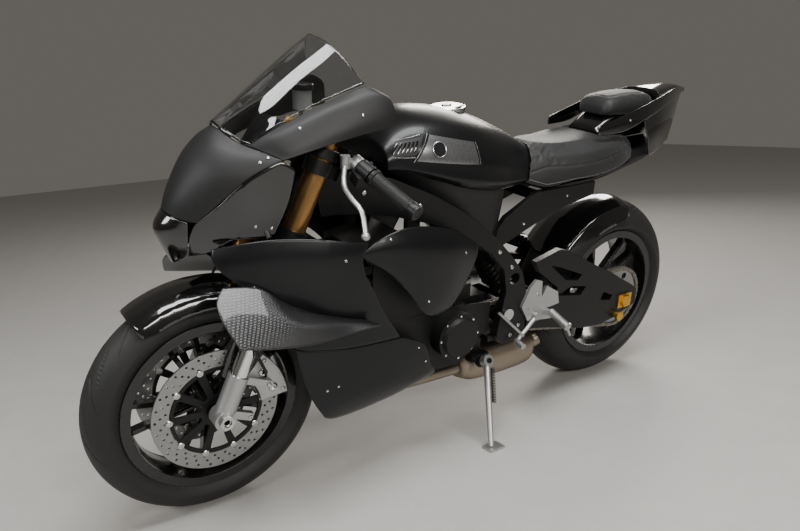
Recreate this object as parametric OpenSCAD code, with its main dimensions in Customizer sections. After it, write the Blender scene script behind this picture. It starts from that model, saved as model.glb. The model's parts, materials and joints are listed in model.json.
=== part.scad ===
/* [Overall] */
// Distance between the two axles, bodywork stretches with it
wheelbase = 1405; // [1260:5:1560]
// Width of the bodywork against its normal width
body_width = 1; // [0.9:0.01:1.15]
// Lean to the left on the side stand, degrees
lean = 9.1; // [8.6:0.1:9.6]
// Trail of the front wheel
trail = 102; // [92:1:112]
// Angle of the steering axis from upright
rake = 24; // [22:0.5:26]

/* [Wheels] */
// Radius of the front tyre
front_radius = 300; // [292:1:308]
// Width of the front tyre
front_tyre_width = 120; // [110:1:126]
// Radius of the rear tyre
rear_radius = 320.5; // [312:0.5:330]
// Width of the rear tyre
rear_tyre_width = 190; // [176:1:196]
// Spokes of each wheel, in pairs
spoke_pairs = 5; // [4:1:6]
// Radius of the front brake discs
front_disc_radius = 160; // [145:1:165]
// Radius of the rear brake disc
rear_disc_radius = 110; // [95:1:120]
// Thickness of the brake discs
disc_thick = 5; // [4:0.5:6]
// Rear sprocket teeth
rear_teeth = 40; // [36:4:44]

/* [Front end] */
// Distance from the middle to each fork leg
fork_half = 107; // [104:1:110]
// Radius of the inner fork tube
inner_tube = 21.5; // [20:0.5:24]
// Radius of the outer fork tube
outer_tube = 27; // [25.5:0.5:28]
// Radius of the handlebar grip
grip_radius = 16; // [14:0.5:18]

/* [Bodywork] */
// Thickness of the fairing panels
panel = 4; // [3:0.5:5]
// Thickness of the windscreen
screen_thick = 3; // [2.5:0.5:4]
// Thickness of the frame side plates
frame_thick = 26; // [22:1:28]
// Weld gap between the frame's plates, head tube and cross pieces
joint_gap = 0.1; // [0.05:0.05:0.3]
// Radius of the fuel cap
cap_radius = 52; // [44:1:58]

/* [Stand and pegs] */
// Radius of the stand leg
stand_radius = 9; // [8:0.5:10.5]
// Length of each foot peg
peg_length = 78; // [65:1:90]

/* [View] */
// One node or all of them

/* [Hidden] */
$fn = 48;
kx = wheelbase / 1405;
ky = body_width;
offs = front_radius * sin(rake) - trail * cos(rake);
fr_crown = front_tyre_width / 2;
rr_crown = rear_tyre_width * 0.515;
origin_x = 685.6;
origin_y = 131.3;
pitch = 57.29578 * (rr_crown - fr_crown) * (1 - cos(lean)) / wheelbase;
lift = rr_crown * (1 - cos(lean));

function q(p) = [p[0] * kx, p[1] * ky, p[2]];
function cr(a, b, c, d, t) = 0.5 * (2 * b + (c - a) * t + (2 * a - 5 * b + 4 * c - d) * t * t
        + (3 * b - a - 3 * c + d) * t * t * t);
function spl(P, n) = let (m = len(P) - 1) [for (i = [0 : m - 1]) for (k = [0 : n - 1])
        cr(i > 0 ? P[i - 1] : 2 * P[0] - P[1], P[i], P[i + 1], i < m - 1 ? P[i + 2] : 2 * P[m] - P[m - 1], k / n),
        P[m]];
function tr(G) = [for (j = [0 : len(G[0]) - 1]) [for (i = [0 : len(G) - 1]) G[i][j]]];
function fine(G, a, b) = tr([for (c = tr([for (r = G) spl(r, a)])) spl(c, b)]);
function scaled(G) = [for (r = G) [for (p = r) q(p)]];
function mir(p) = [p[0], -p[1], p[2]];
function both(r) = concat([for (i = [len(r) - 1 : -1 : 1]) mir(r[i])], r);
function unit(v) = v / norm(v);
function nrm(G, i, j) = let (n = len(G) - 1, m = len(G[0]) - 1)
        unit(cross(G[min(i + 1, n)][j] - G[max(i - 1, 0)][j], G[i][min(j + 1, m)] - G[i][max(j - 1, 0)]));

module park() translate([-origin_x * kx, -origin_y, lift]) rotate([0, pitch, 0]) rotate([-lean, 0, 0]) children();
module mirrored() { children(); mirror([0, 1, 0]) children(); }
module turned() rotate([-90, 0, 0]) children();
module at(p) translate(q(p)) children();
module fork() translate([wheelbase, 0, front_radius]) rotate([0, -rake, 0]) children();
module steer() fork() translate([-offs, 0, 0]) children();

module bar(A, B, r, r2 = undef) {
    d = B - A; L = norm(d);
    translate(A) rotate([0, acos(d[2] / L), atan2(d[1], d[0])]) cylinder(h = L, r1 = r, r2 = r2 == undef ? r : r2);
}
module rod(a, b, r, r2 = undef) bar(q(a), q(b), r, r2);
// a smooth round tube through points, ref is never along it
module path(P, r, ref = [0, 1, 0], n = 10, k = 4) {
    C = spl(P, k); m = len(C) - 1;
    T = [for (i = [0 : m]) unit(C[min(i + 1, m)] - C[max(i - 1, 0)])];
    pts = [for (i = [0 : m]) let (u = unit(cross(T[i], ref)), v = cross(T[i], u))
        for (j = [0 : n - 1]) C[i] + r * (cos(j * 360 / n) * u + sin(j * 360 / n) * v)];
    f = [for (i = [0 : m - 1]) for (j = [0 : n - 1]) let (l = (j + 1) % n) [i * n + j, (i + 1) * n + l, i * n + l]];
    g = [for (i = [0 : m - 1]) for (j = [0 : n - 1]) let (l = (j + 1) % n) [i * n + j, (i + 1) * n + j, (i + 1) * n + l]];
    polyhedron(pts, concat(f, g, [[for (j = [0 : n - 1]) j], [for (j = [n - 1 : -1 : 0]) m * n + j]]));
}
module block(a, b) { A = q(a); B = q(b); translate(A) cube(B - A); }
module plate(P, y0, y1) translate([0, y1 * ky, 0]) rotate([90, 0, 0])
    linear_extrude(height = (y1 - y0) * ky) polygon([for (p = P) [p[0] * kx, p[1]]]);

module sheet(G0, t, a = 2, b = 3) {
    G = fine(scaled(G0), a, b);
    n = len(G); m = len(G[0]); N = n * m;
    top = [for (i = [0 : n - 1]) for (j = [0 : m - 1]) G[i][j]];
    low = [for (i = [0 : n - 1]) for (j = [0 : m - 1]) G[i][j] - t * nrm(G, i, j)];
    fa = [for (i = [0 : n - 2]) for (j = [0 : m - 2]) let (k = i * m + j) [k, k + 1, k + m + 1]];
    fb = [for (i = [0 : n - 2]) for (j = [0 : m - 2]) let (k = i * m + j) [k, k + m + 1, k + m]];
    f = concat(fa, fb);
    g = [for (x = f) [x[0] + N, x[2] + N, x[1] + N]];
    loop = concat([for (j = [0 : m - 2]) j], [for (i = [0 : n - 2]) i * m + m - 1],
            [for (j = [m - 1 : -1 : 1]) (n - 1) * m + j], [for (i = [n - 1 : -1 : 1]) i * m]);
    L = len(loop);
    e = [for (i = [0 : L - 1]) [loop[(i + 1) % L], loop[i], loop[i] + N]];
    h = [for (i = [0 : L - 1]) [loop[(i + 1) % L], loop[i] + N, loop[(i + 1) % L] + N]];
    polyhedron(concat(top, low), concat(f, g, e, h));
}
// a lengthwise body from half outlines, top middle to bottom middle
module body(S, a = 2, b = 2) {
    half = fine(scaled([for (s = S) [for (p = s[1]) [s[0], p[0], p[1]]]]), a, b);
    R = [for (r = half) concat(r, [for (i = [len(r) - 2 : -1 : 1]) mir(r[i])])];
    n = len(R); m = len(R[0]);
    pts = [for (r = R) for (p = r) p];
    f = [for (i = [0 : n - 2]) for (j = [0 : m - 1]) let (k = (j + 1) % m) [i * m + j, (i + 1) * m + k, i * m + k]];
    g = [for (i = [0 : n - 2]) for (j = [0 : m - 1]) let (k = (j + 1) % m) [i * m + j, (i + 1) * m + j, (i + 1) * m + k]];
    polyhedron(pts, concat(f, g, [[for (j = [0 : m - 1]) j], [for (j = [m - 1 : -1 : 0]) (n - 1) * m + j]]));
}

// ---------------------------------------------------------------- wheels
module tyre(R, w, crown, rim_w) rotate_extrude($fn = 120) difference() {
    intersection() {
        translate([R - crown, 0]) circle(r = crown, $fn = 96);
        polygon([[209, -rim_w / 2], [225, -rim_w / 2], [R - crown + 14, -w / 2 - 1], [R + 5, -w / 2 - 1],
                 [R + 5, w / 2 + 1], [R - crown + 14, w / 2 + 1], [225, rim_w / 2], [209, rim_w / 2]]);
    }
    intersection() {
        translate([R - crown, 0]) circle(r = crown - 9, $fn = 96);
        polygon([[208, -rim_w / 2 + 9], [225, -rim_w / 2 + 9], [R - crown + 14, -w / 2 + 8], [R, -w / 2 + 8],
                 [R, w / 2 - 8], [R - crown + 14, w / 2 - 8], [225, rim_w / 2 - 9], [208, rim_w / 2 - 9]]);
    }
}
module rim(w, hub, hub_w) {
    difference() {
        union() {
            rotate_extrude($fn = 120) polygon([[199, -w / 2 - 5], [224, -w / 2 - 5], [224, -w / 2],
                [209, -w / 2], [209, w / 2], [224, w / 2], [224, w / 2 + 5], [199, w / 2 + 5],
                [199, w / 2 - 14], [193, w / 2 - 26], [193, -w / 2 + 26], [199, -w / 2 + 14]]);
            rotate(180 / spoke_pairs) cylinder(h = hub_w, r = hub, center = true);
            translate([0, 0, -12]) linear_extrude(height = 24)
                for (i = [0 : spoke_pairs - 1]) for (s = [-1, 1]) rotate(i * 360 / spoke_pairs + s * 6)
                polygon([[hub - 8, s * 3 - 8], [hub - 8, s * 3 + 8], [197, s * 17 + 6], [197, s * 17 - 6]]);
        }
        cylinder(h = hub_w + 2, r = 12.5, center = true);
    }
}
// a disc ring, its carrier with arms, and the bobbins that join the two
module disc(R, inner, z, bolts) translate([0, 0, z]) {
    linear_extrude(height = disc_thick) {
        difference() { circle(r = R, $fn = 120); circle(r = inner, $fn = 96); }
        difference() {
            union() {
                circle(r = 40);
                for (i = [0 : bolts - 1]) rotate((i + 0.5) * 360 / bolts)
                    polygon([[34, -10], [34, 10], [inner - 5, 5], [inner - 5, -5]]);
            }
            circle(r = 26);
        }
        difference() { circle(r = inner - 1, $fn = 96); circle(r = inner - 10, $fn = 96); }
    }
    for (i = [0 : bolts - 1]) rotate((i + 0.5) * 360 / bolts)
        translate([inner, 0, -1]) cylinder(h = disc_thick + 2, r = 8);
}
module front_tyre() color("#1c1c1c") park() translate([wheelbase, 0, front_radius]) turned()
    tyre(front_radius, front_tyre_width, fr_crown, 90);
module front_rim() color("#151515") park() translate([wheelbase, 0, front_radius]) turned() rim(90, 30, 132);
module front_discs() color("#b5b5b5") park() translate([wheelbase, 0, front_radius]) turned()
    for (s = [0, 1]) mirror([0, 0, s]) disc(front_disc_radius, 118, 66, 10);
module rear_tyre() color("#1c1c1c") park() translate([0, 0, rear_radius]) turned()
    tyre(rear_radius, rear_tyre_width, rr_crown, 152);
module rear_rim() color("#151515") park() translate([0, 0, rear_radius]) turned() {
    rim(152, 36, 170);
    translate([0, 0, 85]) difference() { cylinder(h = 27.5, r = 62); translate([0, 0, -1]) cylinder(h = 30, r = 14); }
}
module rear_disc() color("#b5b5b5") park() translate([0, 0, rear_radius]) turned() mirror([0, 0, 1])
    disc(rear_disc_radius, 78, 85, 6);
pitch_chain = 15.875;
rear_pitch = pitch_chain / (2 * sin(180 / rear_teeth));
front_teeth = 16;
front_pitch = pitch_chain / (2 * sin(180 / front_teeth));
chain_y = 116;
out_x = 622 * kx;
out_z = 384;
module sprocket(n, rp, h) linear_extrude(height = h, center = true) polygon([for (i = [0 : n - 1])
    for (k = [[-0.30, -3.5], [-0.12, 2.5], [0.12, 2.5], [0.30, -3.5]])
    let (a = (i + k[0]) * 360 / n) [(rp + k[1]) * cos(a), (rp + k[1]) * sin(a)]]);
module rear_sprocket() color("#c9c9c9") park() translate([0, chain_y, rear_radius]) turned() difference() {
    union() {
        sprocket(rear_teeth, rear_pitch, 7);
    }
    cylinder(h = 10, r = 27, center = true);
    for (i = [0 : 4]) rotate(i * 72 + 36) translate([76, 0, 0]) cylinder(h = 10, r = 11, center = true);
}
function tang(off) = let (d = [out_x, out_z - rear_radius], L = norm(d), b = atan2(d[1], d[0]),
        c = acos((rear_pitch - front_pitch) / L))
    [[(rear_pitch + off) * cos(b + c), (rear_pitch + off) * sin(b + c)],
     d + [(front_pitch + off) * cos(b + c), (front_pitch + off) * sin(b + c)],
     d + [(front_pitch + off) * cos(b - c), (front_pitch + off) * sin(b - c)],
     [(rear_pitch + off) * cos(b - c), (rear_pitch + off) * sin(b - c)]];
module track(off) {
    circle(r = rear_pitch + off, $fn = 96);
    translate([out_x, out_z - rear_radius]) circle(r = front_pitch + off, $fn = 96);
    polygon(tang(off - 0.05));
}
module chain() color("#4a4640") park() translate([0, chain_y, rear_radius]) rotate([90, 0, 0]) difference() {
    linear_extrude(height = 18, center = true) track(8);
    linear_extrude(height = 20, center = true) track(-8);
    linear_extrude(height = 10, center = true) track(5);
}

// ---------------------------------------------------------------- front end
module front_axle() color("#c8c8c8") park() translate([wheelbase, 0, front_radius]) turned() {
    difference() {
        cylinder(h = 2 * fork_half + 58, r = 12.45, center = true);
        cylinder(h = 2 * fork_half + 60, r = 7, center = true);
    }
    translate([0, 0, fork_half + 26]) difference() {
        cylinder(h = 9, r = 20, $fn = 6);
        translate([0, 0, -1]) cylinder(h = 11, r = 10);
    }
}
module fork_leg() fork() translate([0, fork_half, 0]) {
    difference() {
        union() {
            turned() cylinder(h = 44, r = 27, center = true);
            translate([0, 0, -6]) cylinder(h = 118, r = 26);
            translate([-74, -7, 2]) cube([72, 16, 20]);
            translate([-92, -7, 94]) cube([88, 16, 18]);
        }
        turned() cylinder(h = 60, r = 12.6, center = true);
        translate([0, 0, 40]) cylinder(h = 80, r = inner_tube + 0.2);
    }
}
module axle_lugs() color("#b9b9b9") park() mirrored() fork_leg();
module inner_tubes() color("#d5d5d5") park() mirrored() fork() translate([0, fork_half, 40.2])
    cylinder(h = 640, r = inner_tube);
module outer_tubes() color("#8a5a2b") park() mirrored() fork() translate([0, fork_half, 0]) difference() {
    union() {
        translate([0, 0, 300]) cylinder(h = 400, r = outer_tube);
        translate([0, 0, 300]) cylinder(h = 26, r = outer_tube + 1.5);
        translate([0, 0, 700]) cylinder(h = 14, r = outer_tube - 5);
        translate([0, 0, 714]) cylinder(h = 8, r = 12);
    }
    translate([0, 0, 299]) cylinder(h = 381.2, r = inner_tube + 0.2);
}
module yoke(z, h, r) translate([0, 0, z]) difference() {
    union() {
        for (s = [-1, 1]) translate([offs, s * fork_half, 0]) cylinder(h = h, r = outer_tube + 11);
        translate([-32, -48, 0]) cube([60, 96, h]);
        for (s = [-1, 1]) linear_extrude(height = h) polygon([[-32, s * 30], [28, s * 30],
            [offs + 26, s * fork_half], [offs - 26, s * fork_half]]);
    }
    for (s = [-1, 1]) translate([offs, s * fork_half, -1]) cylinder(h = h + 2, r = outer_tube);
    translate([0, 0, -1]) cylinder(h = h + 2, r = r);
}
module top_yoke() color("#2a2a2a") park() steer() { yoke(664, 26, 15); }
module lower_yoke() color("#222222") park() steer() {
    yoke(452, 34, 15);
    translate([0, 0, 440]) cylinder(h = 262, r = 15);
    translate([0, 0, 700]) cylinder(h = 8, r = 22);
}
bar_in = [1078, 125, 912];
bar_out = [1014, 343, 812];
bar_dir = unit(bar_out - bar_in);
function on_bar(t) = [bar_in[0] + (wheelbase - 1405), bar_in[1], bar_in[2]] + t * bar_dir;
module handlebars() color("#262626") park() mirrored() {
    bar(on_bar(-6), on_bar(95), 11);
    bar(on_bar(95), on_bar(212), grip_radius - 0.5);
    bar(on_bar(92), on_bar(97), grip_radius + 5);
    bar(on_bar(212), on_bar(236), grip_radius + 2);
    fork() translate([0, fork_half, 0]) difference() {
        union() {
            translate([0, 0, 626]) cylinder(h = 34, r = outer_tube + 8);
            translate([-52, -14, 626]) cube([40, 34, 34]);
            translate([-64, -14, 626]) cube([23, 46, 78]);
        }
        translate([0, 0, 620]) cylinder(h = 50, r = outer_tube);
    }
    bar(on_bar(52), on_bar(88), 21);
    translate(on_bar(70)) rotate([-24, 0, 0]) translate([-4, -16, -30]) cube([34, 32, 26]);
}
sx = wheelbase - 1405;
module lever(s) {
    path([[1100 + sx, 155, 905], [1122 + sx, 190, 862], [1128 + sx, 232, 842],
          [1124 + sx, 272, 820], [1130 + sx, 300, 775]], 6, [1, 0, 0], 10, 3);
    translate([1130 + sx, 300, 773]) sphere(10);
}
module clutch_lever() color("#cfcfcf") park() {
    lever();
    difference() {
        union() {
            bar(on_bar(28), on_bar(48), 19);
            bar([1074 + sx, 146, 898], [1100 + sx, 157, 906], 10);
            translate([1100 + sx, 157, 890]) cylinder(h = 30, r = 12);
        }
        bar(on_bar(-6), on_bar(95), 11.1);
    }
}
module brake_lever() color("#cfcfcf") park() mirror([0, 1, 0]) {
    lever();
    difference() {
        union() {
            bar(on_bar(28), on_bar(48), 19);
            bar([1074 + sx, 146, 898], [1100 + sx, 157, 906], 10);
            bar([1097 + sx, 143, 908], [1110 + sx, 200, 884], 12);
        }
        bar(on_bar(-6), on_bar(95), 11.1);
    }
}
module reservoir() color("#8d8d8d") park() translate([sx, 0, 0]) {
    translate([1079, -98, 986]) cylinder(h = 48, r = 24);
    translate([1079, -98, 1034]) cylinder(h = 13, r = 28);
    path([[1079, -98, 990], [1064, -120, 985], [1066, -146, 950], [1094, -150, 919]], 4, [1, 0, 0], 8, 3);
}
module sector(a0, a1, r = 420) linear_extrude(height = 400, center = true)
    polygon(concat([[0, 0]], [for (k = [0 : 6]) let (a = a0 + (a1 - a0) * k / 6) [r * cos(a), -r * sin(a)]]));
module front_fender() color("#0d0d0d") park() translate([wheelbase, 0, front_radius]) {
    turned() intersection() {
        rotate_extrude($fn = 120) polygon([[270, 77], [274, 81], [304, 68], [318, 40], [322, 0],
            [318, -40], [304, -68], [274, -81], [270, -77], [299, -64], [312, -38], [316, 0], [312, 38], [299, 64]]);
        sector(56, 152);
        linear_extrude(height = 400, center = true)
            polygon([[200, -322], [190, -228], [60, -262], [-30, -180], [-420, -180], [-420, -420], [200, -420]]);
    }
    mirrored() rotate([0, -rake, 0]) translate([0, 80.8, 0]) rotate([90, 0, 0]) linear_extrude(height = 4.3)
        polygon([[-16, 84], [28, 84], [32, 286], [-64, 286], [-52, 200], [-20, 182]]);
}
module caliper(R, t, y, r0, r1, w, a) difference() {
    intersection() {
        translate([0, 0, y - w / 2]) difference() {
            cylinder(h = w, r = r1, $fn = 96);
            translate([0, 0, -1]) cylinder(h = w + 2, r = r0, $fn = 96);
        }
        translate([0, 0, y - w]) linear_extrude(height = 2 * w)
            polygon([[0, 0], [400, -400 * tan(a)], [400, 400 * tan(a)]]);
    }
    translate([0, 0, y - t / 2 - 4]) cylinder(h = t + 8, r = R + 5);
}
module front_calipers() color("#b8b8b8") park() translate([wheelbase, 0, front_radius]) mirrored()
    turned() rotate(-152) caliper(front_disc_radius, disc_thick, 66 + disc_thick / 2, 104, 176, 62, 23);
module rear_caliper() color("#6a6a6a") park() {
    translate([0, 0, rear_radius]) mirror([0, 1, 0]) turned()
        rotate(-38) caliper(rear_disc_radius, disc_thick, 85 + disc_thick / 2, 74, 132, 54, 22);
    block([62, -128, 366], [100, -112, 398]);
}
module hose(P) path([for (p = P) [p[0] + sx, p[1], p[2]]], 4, [1, 0, 0], 8, 3);
module brake_hoses() color("#202020") park() {
    hose([[1100, -144, 905], [1113, -147, 882], [1130, -140, 839], [1131, -110, 824], [1145, -78, 812],
          [1160, -62, 806], [1240, -58, 790],
          [1280, -66, 730], [1302, -116, 640], [1326, -140, 560], [1330, -140, 480], [1298, -122, 405],
          [1289.3, -102, 375.4]]);
    hose([[1277, -62, 737], [1294, -34, 746], [1296, 30, 744], [1284, 70, 722], [1302, 116, 640],
          [1326, 140, 560], [1330, 140, 480], [1298, 122, 405], [1289.3, 102, 375.4]]);
}

// ---------------------------------------------------------------- frame and engine
frame_side = [[1120, 835], [1040, 852], [940, 838], [830, 790], [720, 725], [620, 650], [545, 575],
    [500, 520], [475, 440], [470, 330], [500, 305], [560, 300], [582, 330], [572, 400], [560, 470],
    [575, 540], [630, 600], [730, 665], [840, 715], [960, 745], [1100, 740]];
module frame() color("#181818") park() {
    difference() {
        intersection() {
            plate(frame_side, -175, 175);
            union() {
                for (s = [-1, 1]) {
                    translate([0, 0, 290]) linear_extrude(height = 580) polygon([for (p = [[1140, 34], [1060, 46],
                        [960, 100], [860, 142], [760, 160], [440, 160], [440, 160 - frame_thick],
                        [760, 160 - frame_thick], [850, 114], [940, 70], [1020, 34], [1080, 0], [1140, 0]])
                        [p[0] * kx, s * p[1] * ky]]);
                }
            }
        }
        at([530, 0, 505]) turned() cylinder(h = 400, r = 18, center = true);
        at([549, 0, 397]) turned() cylinder(h = 400, r = 16, center = true);
        steer() translate([0, 0, 400]) cylinder(h = 400, r = 36 + joint_gap);
        translate([900, -joint_gap / 2, 200]) cube([400, joint_gap, 800]);
    }
    steer() translate([0, 0, 490]) difference() {
        cylinder(h = 170, r = 36);
        translate([0, 0, -1]) cylinder(h = 172, r = 15.05);
    }
    block([560, joint_gap + frame_thick - 160, 545], [590, 160 - frame_thick - joint_gap, 575]);
    block([522, joint_gap + frame_thick - 160, 301], [552, 160 - frame_thick - joint_gap, 311]);
}
module engine() color("#242424") park() {
    block([588, -132, 262], [960, 100, 452]);
    block([690, 99, 262], [960, 132, 452]);
    plate([[760, 452], [1000, 452], [1000, 640], [850, 660], [820, 600]], -130, 130);
    mirrored() block([560, 100, 303], [592, 134, 321]);
    mirrored() plate([[860, 600], [900, 600], [900, 730], [860, 720]], 112, 130);
    block([640, -95, 452], [800, 95, 490]);
}
module engine_covers() color("#1d1d1d") park() {
    at([738, 132, 376]) turned() { cylinder(h = 44, r = 70); translate([0, 0, 44]) cylinder(h = 12, r1 = 60, r2 = 54); }
    plate([[592, 338], [592, 436], [690, 446], [690, 330]], 127, 132);
    mirror([0, 1, 0]) at([700, 132, 376]) turned() { cylinder(h = 46, r = 92); translate([0, 0, 46]) cylinder(h = 8, r = 70); }
    mirror([0, 1, 0]) at([850, 132, 350]) turned() cylinder(h = 26, r = 46);
}
module radiator() color("#2b2b2b") park() {
    plate([[1050, 350], [1082, 350], [1082, 625], [1050, 640]], -148, 148);
    mirrored() plate([[1046, 345], [1086, 345], [1086, 632], [1046, 645]], 148, 162);
    mirrored() block([1000, 120, 600], [1050, 128, 620]);
}
module exhaust_headers() color("#8c7a5e") park() for (y = [[-105, -60], [-38, -20], [38, 20], [105, 60]])
    path([q([1000.2, y[0], 566]), q([1014, y[0], 564]), q([1030, y[0], 540]), q([1028, y[0], 330]),
          q([975, y[0] * 0.7 + y[1] * 0.3, 248]), q([850, y[1], 200]), q([700, y[1], 194]), q([640.2, y[1], 194])],
          16, [0, 1, 0], 12, 3);
module exhaust_chamber() color("#9a8f7c") park() {
    body([[640, [[0, 232], [60, 230], [78, 205], [70, 165], [0, 155]]],
          [600, [[0, 252], [80, 250], [104, 208], [94, 158], [0, 150]]],
          [380, [[0, 258], [84, 255], [108, 210], [98, 160], [0, 152]]],
          [340, [[0, 240], [60, 238], [80, 205], [72, 172], [0, 165]]]], 2, 2);
    mirrored() rod([360, -62, 205], [318, -66, 220], 24);
}
module swingarm() color("#161616") park() {
    mirrored() difference() {
        plate([[455, 400], [380, 408], [330, 430], [420, 500], [440, 535], [340, 560], [300, 548], [150, 468],
               [90, 440], [30, 405], [-30, 372], [-62, 350], [-66, 296], [-30, 284], [40, 262], [110, 252],
               [200, 262], [350, 300], [455, 322]], 128, 150);
        plate([[330, 500], [372, 512], [300, 452], [240, 440], [225, 455]], 120, 160);
        plate([[270, 424], [330, 406], [220, 384], [200, 410]], 120, 160);
        plate([[110, 372], [60, 350], [70, 335], [120, 345]], 120, 160);
        at([0, 139, rear_radius]) turned() cylinder(h = 60, r = 12.5, center = true);
    }
    difference() {
        block([345, -135, 328], [470, 135, 400]);
        block([360, -60, 300], [440, 60, 420]);
    }
    difference() {
        union() {
            block([440, -104, 340], [530, 104, 400]);
            at([549, 0, 397]) turned() cylinder(h = 208, r = 30, center = true);
        }
        at([549, 0, 397]) turned() cylinder(h = 300, r = 16, center = true);
        block([430, -60, 300], [640, 60, 440]);
    }
}
module swingarm_pivot() color("#a8a8a8") park() {
    at([549, 0, 397]) turned() cylinder(h = 322, r = 15.95, center = true);
    mirrored() at([549, 161, 397]) turned() cylinder(h = 8, r = 19);
}
module rear_axle() color("#b08a3a") park() {
    at([0, 0, rear_radius]) turned() cylinder(h = 316, r = 12.45, center = true);
    mirrored() {
        translate([-32, 150, rear_radius - 24]) cube([64, 6, 48]);
        at([0, 155, rear_radius]) turned() cylinder(h = 10, r = 22, $fn = 6);
        at([30, 150, 272]) turned() { cylinder(h = 12, r = 12); translate([0, 0, 12]) cylinder(h = 8, r = 16); }
    }
}
module rear_hugger() color("#111111") park() {
    at([0, 0, rear_radius]) turned() intersection() {
        rotate_extrude($fn = 120) polygon([[258, 102], [262, 106], [312, 92], [331, 50], [336, 0],
            [331, -50], [312, -92], [262, -106], [258, -102], [308, -87], [326, -48], [331, 0], [326, 48], [308, 87]]);
        sector(22, 96);
        linear_extrude(height = 400, center = true)
            polygon([[-60, -420], [-60, -290], [160, -222], [420, -130], [420, -420]]);
    }
    mirrored() block([232, 88, 500], [262, 128, 516]);
}
module rear_shock() color("#444444") park() {
    block([444, -12, 400], [470, 12, 424]);
    block([538, -12, 548], [560, 12, 574]);
    rod([457, 0, 412], [549, 0, 561], 10);
    rod([470, 0, 433], [534, 0, 537], 26);
}

// ---------------------------------------------------------------- bodywork
cowl = [
    [[1478, 0, 800], [1473, 25, 797], [1460, 46, 790], [1442, 62, 785], [1424, 76, 783]],
    [[1462, 0, 845], [1455, 35, 842], [1440, 60, 833], [1420, 80, 822], [1396, 97, 814]],
    [[1425, 0, 915], [1415, 45, 910], [1396, 80, 898], [1370, 107, 884], [1338, 126, 872]],
    [[1385, 0, 960], [1374, 48, 951], [1352, 84, 934], [1324, 114, 918], [1294, 140, 902]],
    [[1352, 0, 982], [1340, 45, 967], [1314, 80, 948], [1284, 116, 936], [1252, 151, 921]]];
flank = [
    [[1314, 80, 948], [1302, 96, 944], [1284, 116, 936], [1268, 135, 929], [1252, 151, 921]],
    [[1265, 104, 974], [1256, 124, 968], [1242, 142, 956], [1228, 155, 944], [1213, 163, 933]],
    [[1163, 120, 1022], [1154, 142, 1014], [1145, 158, 996], [1138, 170, 974], [1135, 174, 953]],
    [[1092, 129, 1049], [1082, 152, 1040], [1072, 168, 1018], [1066, 178, 990], [1064, 178, 968]],
    [[1036, 135, 1068], [1024, 156, 1054], [1012, 170, 1030], [1004, 178, 1002], [1000, 178, 978]],
    [[996, 150, 1052], [985, 160, 1042], [979, 167, 1027], [975, 172, 1008], [974, 174, 986]]];
module upper_cowl() color("#2a2a2a") park() {
    sheet(tr([for (r = cowl) both(r)]), panel, 3, 2);
    mirrored() sheet(tr(flank), panel, 3, 3);
}
module nose_lip() color("#0b0b0b") park()
    sheet(tr([for (r = [
        [[1476.5, 0, 798.6], [1471.5, 25, 795.6], [1458.5, 46, 788.6], [1440.5, 62, 782.8]],
        [[1497, 0, 757], [1489, 25, 755], [1468, 42, 750], [1440, 55, 744]],
        [[1462, 0, 676], [1457, 12, 680], [1449, 22, 688], [1438, 32, 700]]]) both(r)]), panel, 3, 2);
module nose_side() sheet([
        [[1430, 71, 780], [1396, 97, 813], [1338, 126, 871], [1294, 140, 901], [1255, 150, 919], [1226, 156, 900]],
        [[1438, 57, 744], [1400, 86, 770], [1345, 118, 800], [1300, 136, 815], [1265, 148, 825], [1243, 154, 828]],
        [[1436, 33, 697], [1396, 62, 706], [1360, 96, 740], [1325, 122, 746], [1294, 140, 750], [1276, 149, 756]]],
        -panel, 2, 3);
module nose_sides() color("#101010") park() mirrored() nose_side();
module windscreen() color([0.6, 0.65, 0.7, 0.45]) park() sheet([
        [[1302, 96, 951], [1265, 106, 981], [1163, 121, 1029], [1095, 130, 1055], [1038, 136, 1074]],
        [[1316, 80, 953], [1258, 92, 998], [1190, 97, 1046], [1130, 96, 1092], [1074, 90, 1134]],
        [[1342, 45, 973], [1279, 50, 1022], [1214, 53, 1072], [1152, 53, 1120], [1092, 50, 1162]],
        [[1354, 0, 988], [1292, 0, 1034], [1230, 0, 1082], [1168, 0, 1130], [1107, 0, 1174]],
        [[1342, -45, 973], [1279, -50, 1022], [1214, -53, 1072], [1152, -53, 1120], [1092, -50, 1162]],
        [[1316, -80, 953], [1258, -92, 998], [1190, -97, 1046], [1130, -96, 1092], [1074, -90, 1134]],
        [[1302, -96, 951], [1265, -106, 981], [1163, -121, 1029], [1095, -130, 1055], [1038, -136, 1074]]],
        -screen_thick, 3, 3);
side_panel = [
    [[1400, 88, 722], [1345, 125, 737], [1285, 158, 747], [1215, 183, 745], [1140, 200, 733], [1062, 208, 718]],
    [[1404, 98, 698], [1345, 140, 703], [1285, 170, 707], [1215, 196, 705], [1150, 210, 698], [1085, 214, 690]],
    [[1385, 118, 668], [1335, 148, 663], [1280, 174, 660], [1215, 198, 655], [1145, 212, 648], [1078, 216, 645]],
    [[1330, 150, 622], [1295, 163, 615], [1255, 178, 610], [1190, 198, 602], [1120, 208, 597], [1048, 208, 595]],
    [[1290, 162, 575], [1262, 168, 568], [1225, 178, 560], [1160, 194, 552], [1090, 200, 545], [1020, 198, 542]],
    [[1262, 168, 530], [1240, 172, 522], [1205, 178, 514], [1140, 190, 505], [1065, 192, 498], [988, 188, 495]],
    [[1240, 172, 470], [1215, 176, 462], [1175, 182, 455], [1110, 190, 447], [1030, 188, 440], [942, 176, 430]]];
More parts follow.
